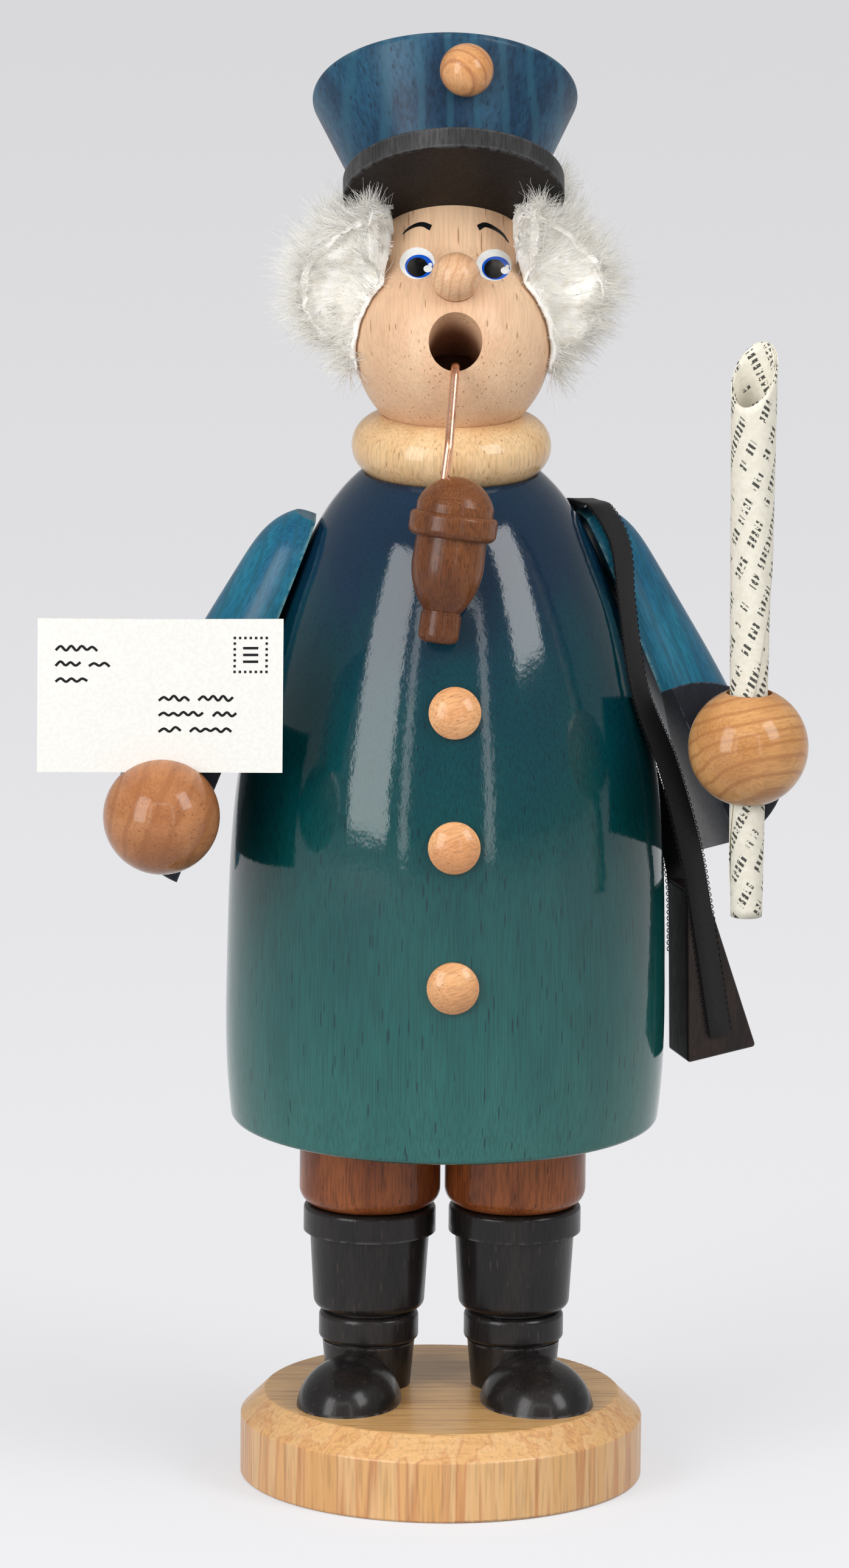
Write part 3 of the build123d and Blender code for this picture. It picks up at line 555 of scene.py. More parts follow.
left_hand_wood = wood(
    "left_hand_wood", rgb(0.50, 0.215, 0.085), rgb(0.38, 0.145, 0.055), along=(0.2, 1, 0.1),
    fibre=(0.3, 4), fibre_depth=0.3, pore=(0.8, 3), pore_colour=rgb(0.22, 0.075, 0.03), ring=3.2,
    ring_colour=rgb(0.32, 0.12, 0.045), roughness=0.3, lacquer=0.6, relief=0.02,
)
dress(left_hand_wood, "left_hand")

# %% [markdown]
# The bag is a dark brown wedge, the pipe is oiled walnut, and the pipe's stem is drawn copper.
# Wood hides its colour under a lacquer, but a metal's colour is the colour of what it mirrors. So
# the copper isn't made with the recipe for wood.

# %% Bag, pipe bowl and copper wire
bag_brown = wood(
    "bag_brown", rgb(0.012, 0.008, 0.0075), rgb(0.026, 0.015, 0.012), fibre=(0.5, 2.5),
    fibre_depth=0.5, pore=(1.0, 3), pore_colour=rgb(0.045, 0.02, 0.015),
    worn=rgb(0.06, 0.045, 0.04), worn_reach=0.4, roughness=0.45, lacquer=0.3,
    lacquer_roughness=0.25, relief=0.04,
)
dress(bag_brown, "mail_bag")

walnut = wood(
    "walnut", rgb(0.215, 0.074, 0.024), rgb(0.120, 0.038, 0.014), fibre=(0.2, 2.5),
    fibre_depth=0.6, pore=(0.45, 2.2), pore_colour=rgb(0.035, 0.010, 0.006), roughness=0.36,
    lacquer=0.35, lacquer_roughness=0.18, relief=0.03,
)
dress(walnut, "pipe_bowl")


def make_copper():
    material, tree, shader = new_material("copper")
    drawn = cloud(tree, grain_space(tree, (0, 0, 1), 0.15, 5), detail=3.0)
    tarnish = span(tree, cloud(tree, grain_space(tree, (0, 0, 1), 2, 4)), 0.45, 0.7)
    plug(tree, shader, {
        "Base Color": mix(tree, tarnish, rgb(0.97, 0.55, 0.36), rgb(0.78, 0.36, 0.21)),
        "Metallic": 1.0, "Roughness": span(tree, drawn, 0.3, 0.7, 0.16, 0.32),
    })
    return material


dress(make_copper(), "pipe_stem")


# %% [markdown]
# New pieces are meshes written point by point. The first helper makes the object, gives it its
# material and lets it ride on its CAD body. Curves and modifiers could make the tubes, but thousands
# of hairs are made much faster as one plain mesh.

# %% Helpers for new pieces
def build(name, points, faces, material, body="figure", smooth=True, uv=None):
    mesh = bpy.data.meshes.new(name)
    mesh.from_pydata(points, [], faces)
    mesh.polygons.foreach_set("use_smooth", [smooth] * len(mesh.polygons))
    if uv:
        layer = mesh.uv_layers.new(name="UVMap")
        layer.data.foreach_set("uv", [c for loop in mesh.loops for c in uv[loop.vertex_index]])
    mesh.materials.append(material)
    mesh.validate()
    piece = bpy.data.objects.new(name, mesh)
    bpy.context.scene.collection.objects.link(piece)
    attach(piece, body)
    print(name, "has", len(faces), "faces")
    return piece


def way_at(run, index):
    """the way from the place before to the place after"""
    return run[min(index + 1, len(run) - 1)] - run[max(index - 1, 0)]


def rod_faces(start, rings, sides):
    """the faces over rings of points, closed at both ends"""
    faces = []
    last = start + (rings - 1) * sides
    for ring in range(start, last, sides):
        for corner in range(sides):
            beside = (corner + 1) % sides
            faces.append((ring + corner, ring + beside, ring + sides + beside, ring + sides + corner))
    faces.append(tuple(start + corner for corner in reversed(range(sides))))
    faces.append(tuple(last + corner for corner in range(sides)))
    return faces


def grid_faces(columns, rows):
    """the faces of a sheet whose points are written row by row"""
    starts = [row * (columns + 1) + column for row in range(rows) for column in range(columns)]
    return [(a, a + 1, a + columns + 2, a + columns + 1) for a in starts]


def add_tube(points, faces, path, radii, sides):
    """a thin tube along a path"""
    faces += rod_faces(len(points), len(path), sides)
    for index, (place, radius) in enumerate(zip(path, radii)):
        run = way_at(path, index)
        across = run.orthogonal().normalized()
        other = run.cross(across).normalized()
        for corner in range(sides):
            angle = math.tau * corner / sides
            points.append(place + (across * math.cos(angle) + other * math.sin(angle)) * radius)


# %% [markdown]
# The eyes and brows are paint. Each is a thin skin whose every point was dropped onto the head by a
# ray, so it has the wood's own curve. Each layer lies a hair higher than the one below it. A
# picture laid on the head could do it too, but a skin keeps its clean edge at any size.

# %% Paint that lies on the head
head_tree = tree_of("head")
paint_step = 0.03 * mm


def on_head(x, y, layer):
    origin, direction = ray_through(x, y)
    place, normal, _, _ = head_tree.ray_cast(origin, direction)
    return place + normal * paint_step * layer


def paint(name, red, green, blue, roughness=0.22):
    material, tree, shader = new_material(name)
    film = even_cloud(tree, 0.3)
    thicker = rgb(red * 0.9, green * 0.9, blue * 0.9)
    plug(tree, shader, {
        "Base Color": mix(tree, span(tree, film, 0.3, 0.7), rgb(red, green, blue), thicker),
        "Roughness": roughness, "Normal": bumps(tree, film, 0.3, 0.01), "Specular IOR Level": 0.2,
    })
    return material


def painted_oval(name, centre, radii, layer, material, rings=5, around=40):
    points, faces = [on_head(*centre, layer)], []
    for ring in range(1, rings + 1):
        for step in range(around):
            angle = math.tau * step / around
            reach = ring / rings
            x = centre[0] + radii[0] * reach * math.cos(angle)
            y = centre[1] - radii[1] * reach * math.sin(angle)
            points.append(on_head(x, y, layer))
    for step in range(around):
        beside = (step + 1) % around
        faces.append((0, 1 + step, 1 + beside))
        for ring in range(rings - 1):
            inner, outer = 1 + ring * around, 1 + (ring + 1) * around
            faces.append((inner + step, outer + step, outer + beside, inner + beside))
    return build(name, points, faces, material)


white_paint = paint("white_paint", 0.88, 0.88, 0.86)
blue_paint = paint("blue_paint", 0.006, 0.10, 0.62)
black_paint = paint("black_paint", 0.006, 0.006, 0.007)

eye_layers = (
    ("white", (0, 0), (29, 26.2), 1, white_paint),
    ("iris", (3, 5.3), (23, 19.2), 2, blue_paint),
    ("pupil", (0.5, 7), (17, 15.8), 3, black_paint),
    ("glint", (17.5, 10), (7, 5.8), 4, white_paint),
    ("spark", (21.5, 3.5), (3.2, 3.2), 4, white_paint),
)
for word, eye_x, eye_y in (("left", 685.8, 432.6), ("right", 811.5, 435.4)):
    for part, shift, radii, layer, material in eye_layers:
        centre = (eye_x + shift[0], eye_y + shift[1])
        painted_oval(f"{word}_eye_{part}", centre, radii, layer, material)


# %% [markdown]
# A brow is one brush stroke: it starts wide beside the nose, swings up and leaves thin. A tube
# would stand off the wood like wire, so the stroke is a strip between two edges, smoothed through
# five places of the picture.

# %% Brush strokes
def smooth_run(places, per_span):
    """a curve through the places, by the Catmull-Rom rule"""
    ends = [places[0] * 2 - places[1], *places, places[-1] * 2 - places[-2]]
    run = []
    for a, b, c, d in zip(ends, ends[1:], ends[2:], ends[3:]):
        for step in range(per_span):
            t = step / per_span
            run.append((b * 2 + (c - a) * t + (a * 2 - b * 5 + c * 4 - d) * t ** 2
                        + (b * 3 - a - c * 3 + d) * t ** 3) * 0.5)
    return [*run, places[-1]]


def stroke_faces(count):
    return [(2 * i, 2 * i + 1, 2 * i + 3, 2 * i + 2) for i in range(count - 1)]


brow_layer = 2
brows = {
    "left": ((662, 385, 1.5), (671, 376.5, 4), (684, 370, 6), (696, 369, 8), (708, 374.5, 10)),
    "right": (
        (785.5, 374.5, 10), (796.5, 369.5, 8), (811.5, 375, 6), (825.5, 385, 4), (835.5, 398.5, 1.5),
    ),
}
for word, places in brows.items():
    run = smooth_run([Vector(place) for place in places], 6)
    points = []
    for index, place in enumerate(run):
        way = way_at(run, index).to_2d().normalized()
        half = place.z / 2
        points.append(on_head(place.x - way.y * half, place.y + way.x * half, brow_layer))
        points.append(on_head(place.x + way.y * half, place.y - way.x * half, brow_layer))
    build(f"{word}_brow", points, stroke_faces(len(run)), black_paint)

# %% [markdown]
# The fur is what makes this figure. Real fur is thousands of fine hairs over a dense felt of more
# hairs. So there is a soft core, grown from the space that CAD keeps for the hair, and out of it
# stand curved hairs of many lengths. Blender has hair of its own, but it wouldn't leave with the
# model, so these are meshes. The core is pressed back at the forehead, where the wood is bare.

# %% The core of the fur
def make_fur():
    material, tree, shader = new_material("white_fur")
    tufts = even_cloud(tree, 1.6, detail=6.0, roughness=0.7)
    warm = mix(tree, span(tree, tufts, 0.3, 0.62), rgb(0.88, 0.84, 0.75), rgb(0.97, 0.955, 0.92))
    fine = cloud(tree, grain_space(tree, (0.5, 0, 1), 0.12, 1.2), detail=4.0)
    # The faint emission is painted light: the fur glows a little in its own colour, lifting the shade
    # between the hairs.
    plug(tree, shader, {
        "Base Color": warm, "Roughness": 0.95, "Specular IOR Level": 0.1,
        "Emission Color": warm, "Emission Strength": 0.09, "Normal": bumps(tree, fine, 0.7, 0.25),
    })
    return material


white_fur = make_fur()
core_voxel = 0.8 * mm
core_sink = 2.9 * mm
loose_from = 2.2 * mm
tuft_size = 4.0 * mm
tuft_height = 0.8 * mm
tuft_fade, tuft_step, tuft_layers = 0.8, 2.1, 4
parting = 9.3 * mm
forehead_depth = 3.0 * mm


def clear_of_head(place):
    """how far a place is outside the head's ball"""
    return (place - head_centre).length - head_radius


def make_core():
    core = bpy.data.objects.new("hair_core", nodes["hair"].data.copy())
    bpy.context.scene.collection.objects.link(core)
    remesh = core.modifiers.new("even", "REMESH")
    remesh.mode = "VOXEL"
    remesh.voxel_size = core_voxel
    rounding = core.modifiers.new("rounding", "SMOOTH")
    rounding.factor, rounding.iterations = 0.5, 14
    bpy.context.view_layer.update()
    shaped = core.evaluated_get(bpy.context.evaluated_depsgraph_get())
    even = bpy.data.meshes.new_from_object(shaped)
    bpy.data.objects.remove(core)
    points = []
    for vertex in even.vertices:
        place, normal = vertex.co.copy(), vertex.normal.copy()
        loose = min(1, max(0, clear_of_head(place) / loose_from))
        lump = noise.fractal(place / tuft_size, tuft_fade, tuft_step, tuft_layers)
        place -= normal * (core_sink - tuft_height * lump) * loose
        before = (place - head_centre).dot(faceward) - forehead_depth
        if abs(place.x) < parting and before > 0:
            place -= faceward * before
        points.append(place)
    faces = [tuple(p.vertices) for p in even.polygons]
    piece = build("fur_core", points, faces, white_fur)
    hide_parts("hair")
    return piece


fur_core = make_core()

# %% [markdown]
# Each hair starts in the core and is combed away from the face like the spokes of a fan, with a slow
# swirl that its neighbours share. Hairs that share a swirl read as locks. They could be drawn one
# by one, but a seed draws them all and makes the same hairs each time. The swirl is made of three
# plain noises, because the ready-made noise vector gives other values on every run.

# %% The hairs
hair_count = 28000
hair_steps = 3
hair_root = 0.05 * mm
hair_taper = 0.85
hair_lengths = (2.8, 6.2)
long_share, long_stretch = 0.1, 1.35
root_sink = 0.8
root_clearance = 0.35 * mm
fan_rise = 5 * mm
fan_pull, outward_pull, swirl_pull = 0.9, 0.8, 0.8
wide_swirl, close_swirl = 4 * mm, 2.2 * mm
swirl_spots = (Vector((9.3, -1.5, -8.0)), Vector((0, 0, 0)), Vector((6.3, 0.2, -2.7)))
bend, jitter = 0.4, 0.22
back_from = 6 * mm
face_half_width, face_depth = 8.7 * mm, 4 * mm
hair_draws = random.Random(11)


def swirl_at(place, size, shift):
    """a direction that turns slowly from place to place"""
    spot = place / size + Vector((shift, shift, shift))
    return Vector([noise.noise(spot + apart) for apart in swirl_spots])


def hair_path(root, normal):
    length = hair_draws.uniform(*hair_lengths) * mm
    if hair_draws.random() < long_share:
        length *= long_stretch
    from_face = root - head_centre - Vector((0, 0, fan_rise))
    fan = Vector((from_face.x, from_face.y * 0.5, from_face.z * 0.8)).normalized()
    swirl = swirl_at(root, wide_swirl, 3) * swirl_pull
    heading = (fan * fan_pull + normal * outward_pull + swirl).normalized()
    path = [root - normal * root_sink * mm]
    for _ in range(hair_steps):
        shake = Vector([hair_draws.uniform(-jitter, jitter) for _ in range(3)])
        heading = (heading + swirl_at(path[-1], close_swirl, 9) * bend + shake).normalized()
        path.append(path[-1] + heading * length / hair_steps)
    return path


def over_the_face(place):
    """the space before the face, where no hair may hang over the eyes"""
    before = (place - head_centre).dot(faceward)
    return abs(place.x) < face_half_width and before > face_depth


def tuft_of(root):
    """the tuft that a hair belongs to"""
    side = "left" if root.x < 0 else "right"
    return "back_" + side if root.y > back_from else side


def make_hairs():
    mesh = fur_core.data
    outer = [p for p in mesh.polygons if clear_of_head(p.center) > root_clearance]
    picked = hair_draws.choices(outer, weights=[p.area for p in outer], k=hair_count)
    tufts = {word: ([], []) for word in ("left", "right", "back_left", "back_right")}
    radii = [hair_root * (1 - hair_taper * step / hair_steps) for step in range(hair_steps + 1)]
    for polygon in picked:
        first, second, third = [mesh.vertices[i].co for i in polygon.vertices[:3]]
        root = first.lerp(third, hair_draws.random()).lerp(second, hair_draws.random() * 0.5)
        path = hair_path(root, polygon.normal)
        if not any(over_the_face(place) for place in path):
            add_tube(*tufts[tuft_of(root)], path, radii, 3)
    for word, (points, faces) in tufts.items():
        build(f"fur_{word}_hairs", points, faces, white_fur)


make_hairs()

# %% [markdown]
# The strap is a woven black ribbon with small loops along both edges. It follows the same stations
# as the CAD strap, over the shoulder, behind the arm and down to the bag. Cloth could be dropped
# there by a simulation, but this ribbon has to pass where the photograph shows it. So a smooth
# curve runs through the stations, and the ribbon's width turns with it.

# %% The ribbon's route
coat_radius = 32.2 * mm
bag_low, bag_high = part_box("mail_bag")
bag_turn = 15.6
bag_forward, bag_depth, bag_foot_width = 8.2 * mm, 9.2 * mm, 11.1 * mm
bag_gap, ribbon_gap = 0.7 * mm, 0.35 * mm
front_shares = (
    (0.638, 0.138, 0.944), (0.689, 0.016, 0.941), (0.767, -0.081, 0.894),
    (0.796, -0.185, 0.808), (0.852, -0.325, 0.687), (0.986, -0.255, 0.567), (1.086, -0.190, 0.448),
)
back_shares = (
    (0.576, 0.312, 0.932), (0.538, 0.420, 0.875), (0.630, 0.477, 0.785),
    (0.785, 0.472, 0.650), (0.935, 0.378, 0.515), (1.040, 0.240, 0.395),
)
front_turns = (15, 20, 30, 44, 42, 32, 20)
back_turns = (-10, -45, -53, -58, -60, -30)
front_end_shares = ((0.16, 0.96), (0.48, 0.15))
back_end_shares = ((0.16, 0.96), (0.19, 0.55))


def flat_way(degrees):
    return Vector((math.cos(math.radians(degrees)), math.sin(math.radians(degrees)), 0))


def coat_station(x_share, y_share, height_share):
    """a place beside the coat, in shares of its radius and its height"""
    height = coat_low.z + height_share * (coat_high.z - coat_low.z)
    return Vector((x_share * coat_radius, y_share * coat_radius, height))


def bag_station(across_share, height_share, face):
    """a place on the bag's front, where face is 1, or on its back, where face is -1"""
    out, ahead = flat_way(bag_turn), flat_way(bag_turn - 90)
    middle = out * (coat_radius + bag_gap + across_share * bag_foot_width)
    height = Vector((0, 0, bag_low.z + height_share * (bag_high.z - bag_low.z)))
    return middle + ahead * (bag_forward + face * (bag_depth / 2 + ribbon_gap)) + height


stations = [
    *[bag_station(*share, -1) for share in reversed(back_end_shares)],
    *[coat_station(*share) for share in reversed(back_shares)],
    *[coat_station(*share) for share in front_shares],
    *[bag_station(*share, 1) for share in front_end_shares],
]
turns = [bag_turn, bag_turn, *reversed(back_turns), *front_turns, bag_turn, bag_turn]
ribbon_line = smooth_run(stations, 10)
ribbon_ways = smooth_run([flat_way(turn) for turn in turns], 10)
print("ribbon stations:", len(stations))


# %% [markdown]
# The ribbon itself is woven in a fine slanting pattern. A picture of cloth would repeat and blur.
# Two crossed waves, measured along the ribbon's own length, give threads that turn with it.

# %% The woven ribbon
thread_pitch, thread_slant = 0.28, 28


def make_ribbon_material():
    material, tree, shader = new_material("black_ribbon")
    values = {"Vector": sheet_space(tree, thread_pitch, thread_slant), "Scale": one_wave}
    threads = [add(tree, "TexWave", values, bands_direction=way).outputs[1] for way in ("X", "Y")]
    cloth = combine(tree, "MAXIMUM", *threads)
    black, grey = rgb(0.004, 0.004, 0.005), rgb(0.016, 0.015, 0.016)
    plug(tree, shader, {
        "Base Color": mix(tree, span(tree, cloth, 0.2, 0.9), black, grey),
        "Roughness": 0.5, "Normal": bumps(tree, cloth, 0.8, 0.06), "Specular IOR Level": 0.2,
        "Sheen Weight": 0.06,
    })
    return material


black_ribbon = make_ribbon_material()
ribbon_width, ribbon_thickness = 3.2 * mm, 0.45 * mm
ribbon_section = (
    (-0.5, -0.3), (-0.47, -0.5), (0.47, -0.5), (0.5, -0.3),
    (0.5, 0.3), (0.47, 0.5), (-0.47, 0.5), (-0.5, 0.3),
)


def ribbon_frames():
    """the place, the width's direction, the outward direction and the run along the ribbon"""
    for index, place in enumerate(ribbon_line):
        run = way_at(ribbon_line, index).normalized()
        flat = ribbon_ways[index]
        across = (flat - run * flat.dot(run)).normalized()
        yield place, across, run.cross(across), run


def make_ribbon():
    points, uv = [], []
    length, last = 0, ribbon_line[0]
    for place, across, out, _ in ribbon_frames():
        length, last = length + (place - last).length, place
        for x, y in ribbon_section:
            points.append(place + across * ribbon_width * x + out * ribbon_thickness * y)
            uv.append((x * ribbon_width, length))
    faces = rod_faces(0, len(ribbon_line), len(ribbon_section))
    ribbon = build("ribbon_strap", points, faces, black_ribbon, uv=uv)
    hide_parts("bag_strap")
    print("ribbon length in mm:", round(length / mm))


make_ribbon()

# %% [markdown]
# The loops on the ribbon's edges are the weft threads turning back. A fringe cut into the ribbon's
# outline would be flat, so each loop is a tiny bow of thread.

# %% The loops along the ribbon's edges
loop_pitch = 0.93 * mm
loop_reach = 0.34 * mm
loop_thread = 0.10 * mm
loop_sink, loop_spread = 0.05 * mm, 0.38


def make_loops():
    points, faces = [], []
    walked, due, last = 0, loop_pitch, ribbon_line[0]
    for place, across, _, run in ribbon_frames():
        step = (place - last).length
        while due < walked + step:
            middle = last.lerp(place, (due - walked) / step)
            for side in (-1, 1):
                foot = middle + across * side * (ribbon_width / 2 - loop_sink)
                bow = [
                    foot + across * side * loop_reach * math.sin(angle)
                    - run * loop_pitch * loop_spread * math.cos(angle)
                    for angle in [math.pi * k / 4 for k in range(5)]
                ]
                add_tube(points, faces, bow, [loop_thread] * 5, 4)
            due += loop_pitch
        walked, last = walked + step, place
    build("ribbon_loops", points, faces, black_ribbon)


make_loops()


# %% [markdown]
# The letter is a card folded once. Its two leaves meet in the slot of the hand and stand a little
# apart above it. One thin box would do from afar, but it would look like a tile, so each leaf is a
# sheet with a slight bow.

# %% The folded letter
def make_paper(name, pale, shade, size):
    material, tree, shader = new_material(name)
    pulp = even_cloud(tree, size, detail=5.0)
    plug(tree, shader, {
        "Base Color": mix(tree, span(tree, pulp, 0.35, 0.65), pale, shade), "Roughness": 0.85,
        "Normal": bumps(tree, pulp, 0.4, 0.03),
    })
    return material


letter_paper = make_paper("letter_paper", rgb(0.86, 0.855, 0.82), rgb(0.82, 0.81, 0.77), 0.5)
letter_low, letter_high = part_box("letter")
letter_size = letter_high - letter_low
leaf_thickness = 0.2 * mm
leaf_bow = 0.35 * mm


def leaf_point(u, v, depth):
    """a point of the front leaf at shares of its width and height, and a depth behind its face"""
    bow = leaf_bow * math.sin(math.pi * u) * v
    return Vector((
        letter_low.x + u * letter_size.x, letter_low.y - bow + depth,
        letter_low.z + v * letter_size.z,
    ))


def make_leaf(name, face_depth, columns=24, rows=12):
    points, faces = [], []
    for depth in (face_depth, face_depth + leaf_thickness):
        for row in range(rows + 1):
            for column in range(columns + 1):
                points.append(leaf_point(column / columns, row / rows, depth))
    sheet = (columns + 1) * (rows + 1)
    for a, b, c, d in grid_faces(columns, rows):
        faces += [(a, b, c, d), (sheet + a, sheet + d, sheet + c, sheet + b)]
    side = columns + 1
    rim = [*range(columns), *[row * side + columns for row in range(rows)]]
    rim += [rows * side + column for column in range(columns, 0, -1)]
    rim += [row * side for row in range(rows, 0, -1)]
    for a, b in zip(rim, [*rim[1:], rim[0]]):
        faces.append((a, a + sheet, b + sheet, b))
    return build(name, points, faces, letter_paper, smooth=False)


front_leaf = make_leaf("letter_front_leaf", 0)
make_leaf("letter_back_leaf", letter_size.y - leaf_thickness)
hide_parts("letter")

# %% [markdown]
# The writing is generic: wavy lines, and a dotted frame where a stamp would go. It could be a
# picture laid on the card, but strokes that follow the leaf's bow stay sharp. A seed makes the same
# waves each time.

# %% The ink on the letter
ink = paint("ink", 0.008, 0.008, 0.009, roughness=0.7)
ink_lift = -0.02 * mm
ink_width = 0.38 * mm
wave_length = 0.75
wave_up, wave_down, wave_range = 0.38, -0.25, (0.5, 1.2)
ink_draws = random.Random(5)


def ink_line(points, faces, run):
    """a flat stroke through places of the leaf, given in metres from its lower left corner"""
    start = len(points)
    for index, place in enumerate(run):
        way = way_at(run, index).normalized()
        for side in (-1, 1):
            x = place.x - way.y * side * ink_width / 2
            z = place.y + way.x * side * ink_width / 2
            points.append(leaf_point(x / letter_size.x, z / letter_size.z, ink_lift))
    faces += [tuple(start + corner for corner in face) for face in stroke_faces(len(run))]


def wavy_word(left, height, length):
    """low waves, as quick writing looks from afar"""
    count = max(4, round(length / wave_length))
    places = []
    for k in range(count + 1):
        swing = (wave_up if k % 2 else wave_down) * ink_draws.uniform(*wave_range)
        places.append(Vector((left + length * k / count, height + swing)) * mm)
    return smooth_run(places, 4)


def make_writing():
    points, faces = [], []
    words = (
        (2.6, 18.2, 6.0), (2.6, 15.9, 3.6), (7.4, 15.9, 3.0), (2.6, 13.6, 4.6), (17.5, 10.9, 4.4),
        (23.2, 10.9, 5.0), (17.5, 8.6, 6.4), (25.3, 8.6, 3.4), (17.5, 6.3, 3.2), (22.0, 6.3, 6.0),
    )
    for left, height, length in words:
        ink_line(points, faces, wavy_word(left, height, length))
    build("letter_writing", points, faces, ink)


def make_stamp():
    """a dotted frame with three short bars in it"""
    points, faces = [], []
    left, foot, width, height, count = 28.4, 14.9, 4.6, 5.0, 6
    dot_half, bar_start, bar_end = 0.18, 1.2, 3.4

    def level_line(start, end, rise):
        ink_line(points, faces, [Vector((start, rise)) * mm, Vector((end, rise)) * mm])

    for k in range(count):
        share = k / count
        dots = (
            (left + width * share, foot), (left + width, foot + height * share),
            (left + width * (1 - share), foot + height), (left, foot + height * (1 - share)),
        )
        for x, z in dots:
            level_line(x - dot_half, x + dot_half, z)
    for row in (1.5, 2.5, 3.5):
        level_line(left + bar_start, left + bar_end, foot + row)
    build("letter_stamp", points, faces, ink)


make_writing()
make_stamp()

# %% [markdown]
# The newspaper is one sheet rolled slantwise, so its seam winds round the roll and its top end is
# cut on a slope. A plain tube would have no turns to look into from above. So the sheet is wound up
# by a rule, and then it is given its thickness.

# %% The rolled newspaper
roll_low, roll_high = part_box("newspaper_roll")
roll_centre = (roll_low + roll_high) / 2
roll_top_radius, roll_foot_radius = 3.55 * mm, 2.45 * mm
roll_turns, roll_twist = 2.3, 0.9
roll_slope = 8.6 * mm
roll_slope_way = math.radians(-118)
roll_start, roll_top_gap = 0.6, 0.4 * mm
paper_gap = 0.24 * mm
paper_thickness = 0.12 * mm


def roll_point(u, v):
    """a point of the sheet: u winds round the roll, v climbs it"""
    angle = math.tau * (roll_turns * u + roll_twist * v) + roll_start
    top = roll_high.z - roll_top_gap - roll_slope * (1 + math.cos(angle - roll_slope_way)) / 2
    height = roll_low.z + (top - roll_low.z) * v
    climb = (height - roll_low.z) / (roll_high.z - roll_low.z)
    radius = roll_foot_radius + (roll_top_radius - roll_foot_radius) * climb
    radius -= paper_gap * roll_turns * (1 - u)
    x, y = radius * math.cos(angle), radius * math.sin(angle)
    return Vector((roll_centre.x + x, roll_centre.y + y, height)), (angle * radius, height)


def make_roll(columns=110, rows=60):
    points, uv = [], []
    for row in range(rows + 1):
        for column in range(columns + 1):
            place, flat = roll_point(column / columns, row / rows)
            points.append(place)
            uv.append(flat)
    faces = grid_faces(columns, rows)
    roll = build("newspaper_sheet", points, faces, newsprint, uv=uv)
    thick = roll.modifiers.new("thickness", "SOLIDIFY")
    thick.thickness = paper_thickness
    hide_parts("newspaper_roll")


# %% [markdown]
# The print is only rows of short strokes with gaps between them: from arm's length that is what
# print looks like. Letters could be set, but nobody could read them from there. The rows are
# measured on the flat sheet, so they wind round the roll with the paper and its blue stripe.

# %% The print on the newspaper
line_pitch, letter_pitch, word_pitch, row_shift = 3.0, 0.95, 2.6, 7.3
stripe_pitch, stripe_shift = 31.0, 4.0
print_slant = 56


def make_newsprint():
    material, tree, shader = new_material("newsprint")
    parts = add(tree, "SeparateXYZ", {0: sheet_space(tree, 1, print_slant)})
    along, across = parts.outputs[0], parts.outputs[1]
    rows = combine(tree, "DIVIDE", across, line_pitch)
    line = combine(tree, "FRACT", rows)
    body = times(tree, span(tree, line, 0.20, 0.24), span(tree, line, 0.66, 0.70, 1.0, 0.0))
    strokes = combine(tree, "FRACT", combine(tree, "DIVIDE", along, letter_pitch))
    bars = span(tree, combine(tree, "PINGPONG", strokes, 0.5), 0.20, 0.26)
    row_place = times(tree, combine(tree, "FLOOR", rows), row_shift)
    spot = add(tree, "CombineXYZ", {0: combine(tree, "DIVIDE", along, word_pitch), 1: row_place})
    words = span(tree, cloud(tree, spot.outputs[0], detail=1.0), 0.44, 0.47)
    tops = span(tree, even_cloud(tree, 0.5, detail=1.0), 0.40, 0.46)
    pulp = even_cloud(tree, 0.8, detail=5.0)
    paper = mix(tree, span(tree, pulp, 0.35, 0.65), rgb(0.80, 0.765, 0.66), rgb(0.74, 0.70, 0.59))
    shifted = combine(tree, "ADD", across, stripe_shift)
    stripe = span(tree, combine(tree, "PINGPONG", shifted, stripe_pitch), 0.55, 0.75, 1.0, 0.0)
    striped = mix(tree, stripe, paper, rgb(0.10, 0.26, 0.56))
    mark = times(tree, body, bars, words, tops, 0.95)
    plug(tree, shader, {
        "Base Color": mix(tree, mark, striped, rgb(0.02, 0.024, 0.02)),
        "Roughness": 0.85, "Normal": bumps(tree, pulp, 0.5, 0.04),
    })
    return material


newsprint = make_newsprint()
make_roll()

# %% [markdown]
# The studio is plain: one pale sheet under the figure and a pale sky behind it. More light would
# make them white, but it would bleach the figure too. So the eye sees floor and sky a little paler
# than they light the figure.

# %% The pale floor and the sky
def seen_rays(tree):
    """1 for rays that are seen: straight, mirrored or through glass"""
    light_path = add(tree, "LightPath", {})
    straight, mirrored, through = [
        light_path.outputs[f"Is {word} Ray"] for word in ("Camera", "Glossy", "Transmission")
    ]
    return combine(tree, "MAXIMUM", combine(tree, "MAXIMUM", straight, mirrored), through)


def make_floor(half=4.0, glow=0.53):
    corners = [(-half, -half, 0), (half, -half, 0), (half, half, 0), (-half, half, 0)]
    mesh = bpy.data.meshes.new("floor")
    mesh.from_pydata(corners, [], [(0, 1, 2, 3)])
    floor = bpy.data.objects.new("floor", mesh)
    bpy.context.scene.collection.objects.link(floor)
    material, tree, shader = new_material("pale_floor")
    plug(tree, shader, {
        "Base Color": rgb(0.34, 0.34, 0.345), "Roughness": 0.9, "Specular IOR Level": 0.0,
        "Emission Color": rgb(0.97, 0.97, 1.0),
        "Emission Strength": times(tree, seen_rays(tree), glow),
    })
    mesh.materials.append(material)
    print("floor in metres:", 2 * half)


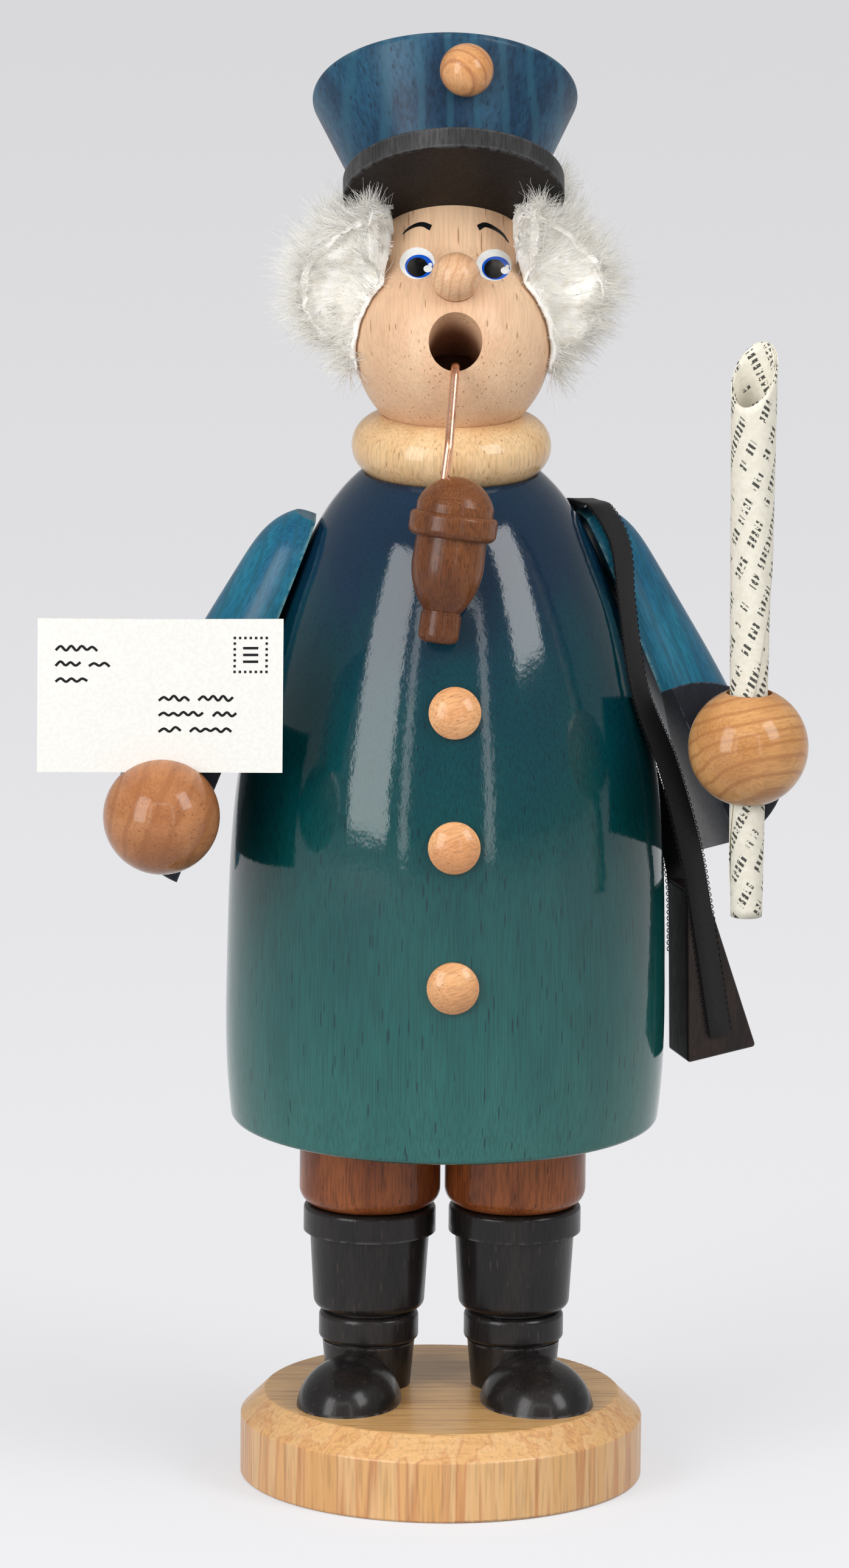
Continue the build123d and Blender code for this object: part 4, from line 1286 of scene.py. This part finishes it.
def make_sky(light=0.42, seen=0.9):
    world = bpy.data.worlds.new("sky")
    bpy.context.scene.world = world
    world.use_nodes = True
    tree = world.node_tree
    for node in list(tree.nodes):
        tree.nodes.remove(node)
    lamp = add(tree, "Background", {"Color": rgb(1, 1, 1), "Strength": light})
    face = add(tree, "Background", {"Color": rgb(0.98, 0.98, 1), "Strength": seen})
    straight = add(tree, "LightPath", {}).outputs["Is Camera Ray"]
    both = add(tree, "MixShader", {0: straight, 1: lamp.outputs[0], 2: face.outputs[0]})
    add(tree, "OutputWorld", {"Surface": both.outputs[0]})
    print("sky seen:", seen, "and as light:", light)


make_floor()
make_sky()

# %% [markdown]
# A tall soft lamp stands at each side and a broad one hangs overhead. Three thin strips are there
# for the lacquer alone, which mirrors them as bright bands. The lamp overhead isn't mirrored, so
# that the shoulders stay dark. One lit sky would be simpler, but gloss needs lamps with edges.

# %% The soft lamps
def soft_lamp(name, azimuth, elevation, distance, width, height, watts, mirrored=True):
    lamp = bpy.data.lights.new(name, "AREA")
    lamp.shape = "RECTANGLE"
    lamp.size, lamp.size_y, lamp.energy = width, height, watts
    a, e = math.radians(azimuth), math.radians(elevation)
    out = Vector((math.sin(a) * math.cos(e), -math.cos(a) * math.cos(e), math.sin(e)))
    holder = bpy.data.objects.new(name, lamp)
    bpy.context.scene.collection.objects.link(holder)
    holder.location = aim + out * distance
    holder.rotation_mode = "QUATERNION"
    holder.rotation_quaternion = out.to_track_quat("Z", "Y")
    holder.visible_glossy = mirrored
    print(name, "gives", watts, "watts")


soft_lamp("left_lamp", azimuth=-45, elevation=21, distance=1.1, width=0.46, height=0.9, watts=7.8)
soft_lamp("right_lamp", azimuth=54, elevation=36, distance=1.1, width=0.40, height=0.6, watts=5.2)
soft_lamp(
    "top_lamp", azimuth=0, elevation=75, distance=1.2, width=0.8, height=0.6, watts=2.6,
    mirrored=False,
)
soft_lamp("left_strip", azimuth=-25, elevation=15, distance=1.3, width=0.10, height=0.84, watts=0.85)
soft_lamp("right_strip", azimuth=21, elevation=15, distance=1.3, width=0.10, height=0.84, watts=0.85)
soft_lamp("front_strip", azimuth=-2, elevation=36, distance=1.3, width=0.8, height=0.10, watts=0.8)
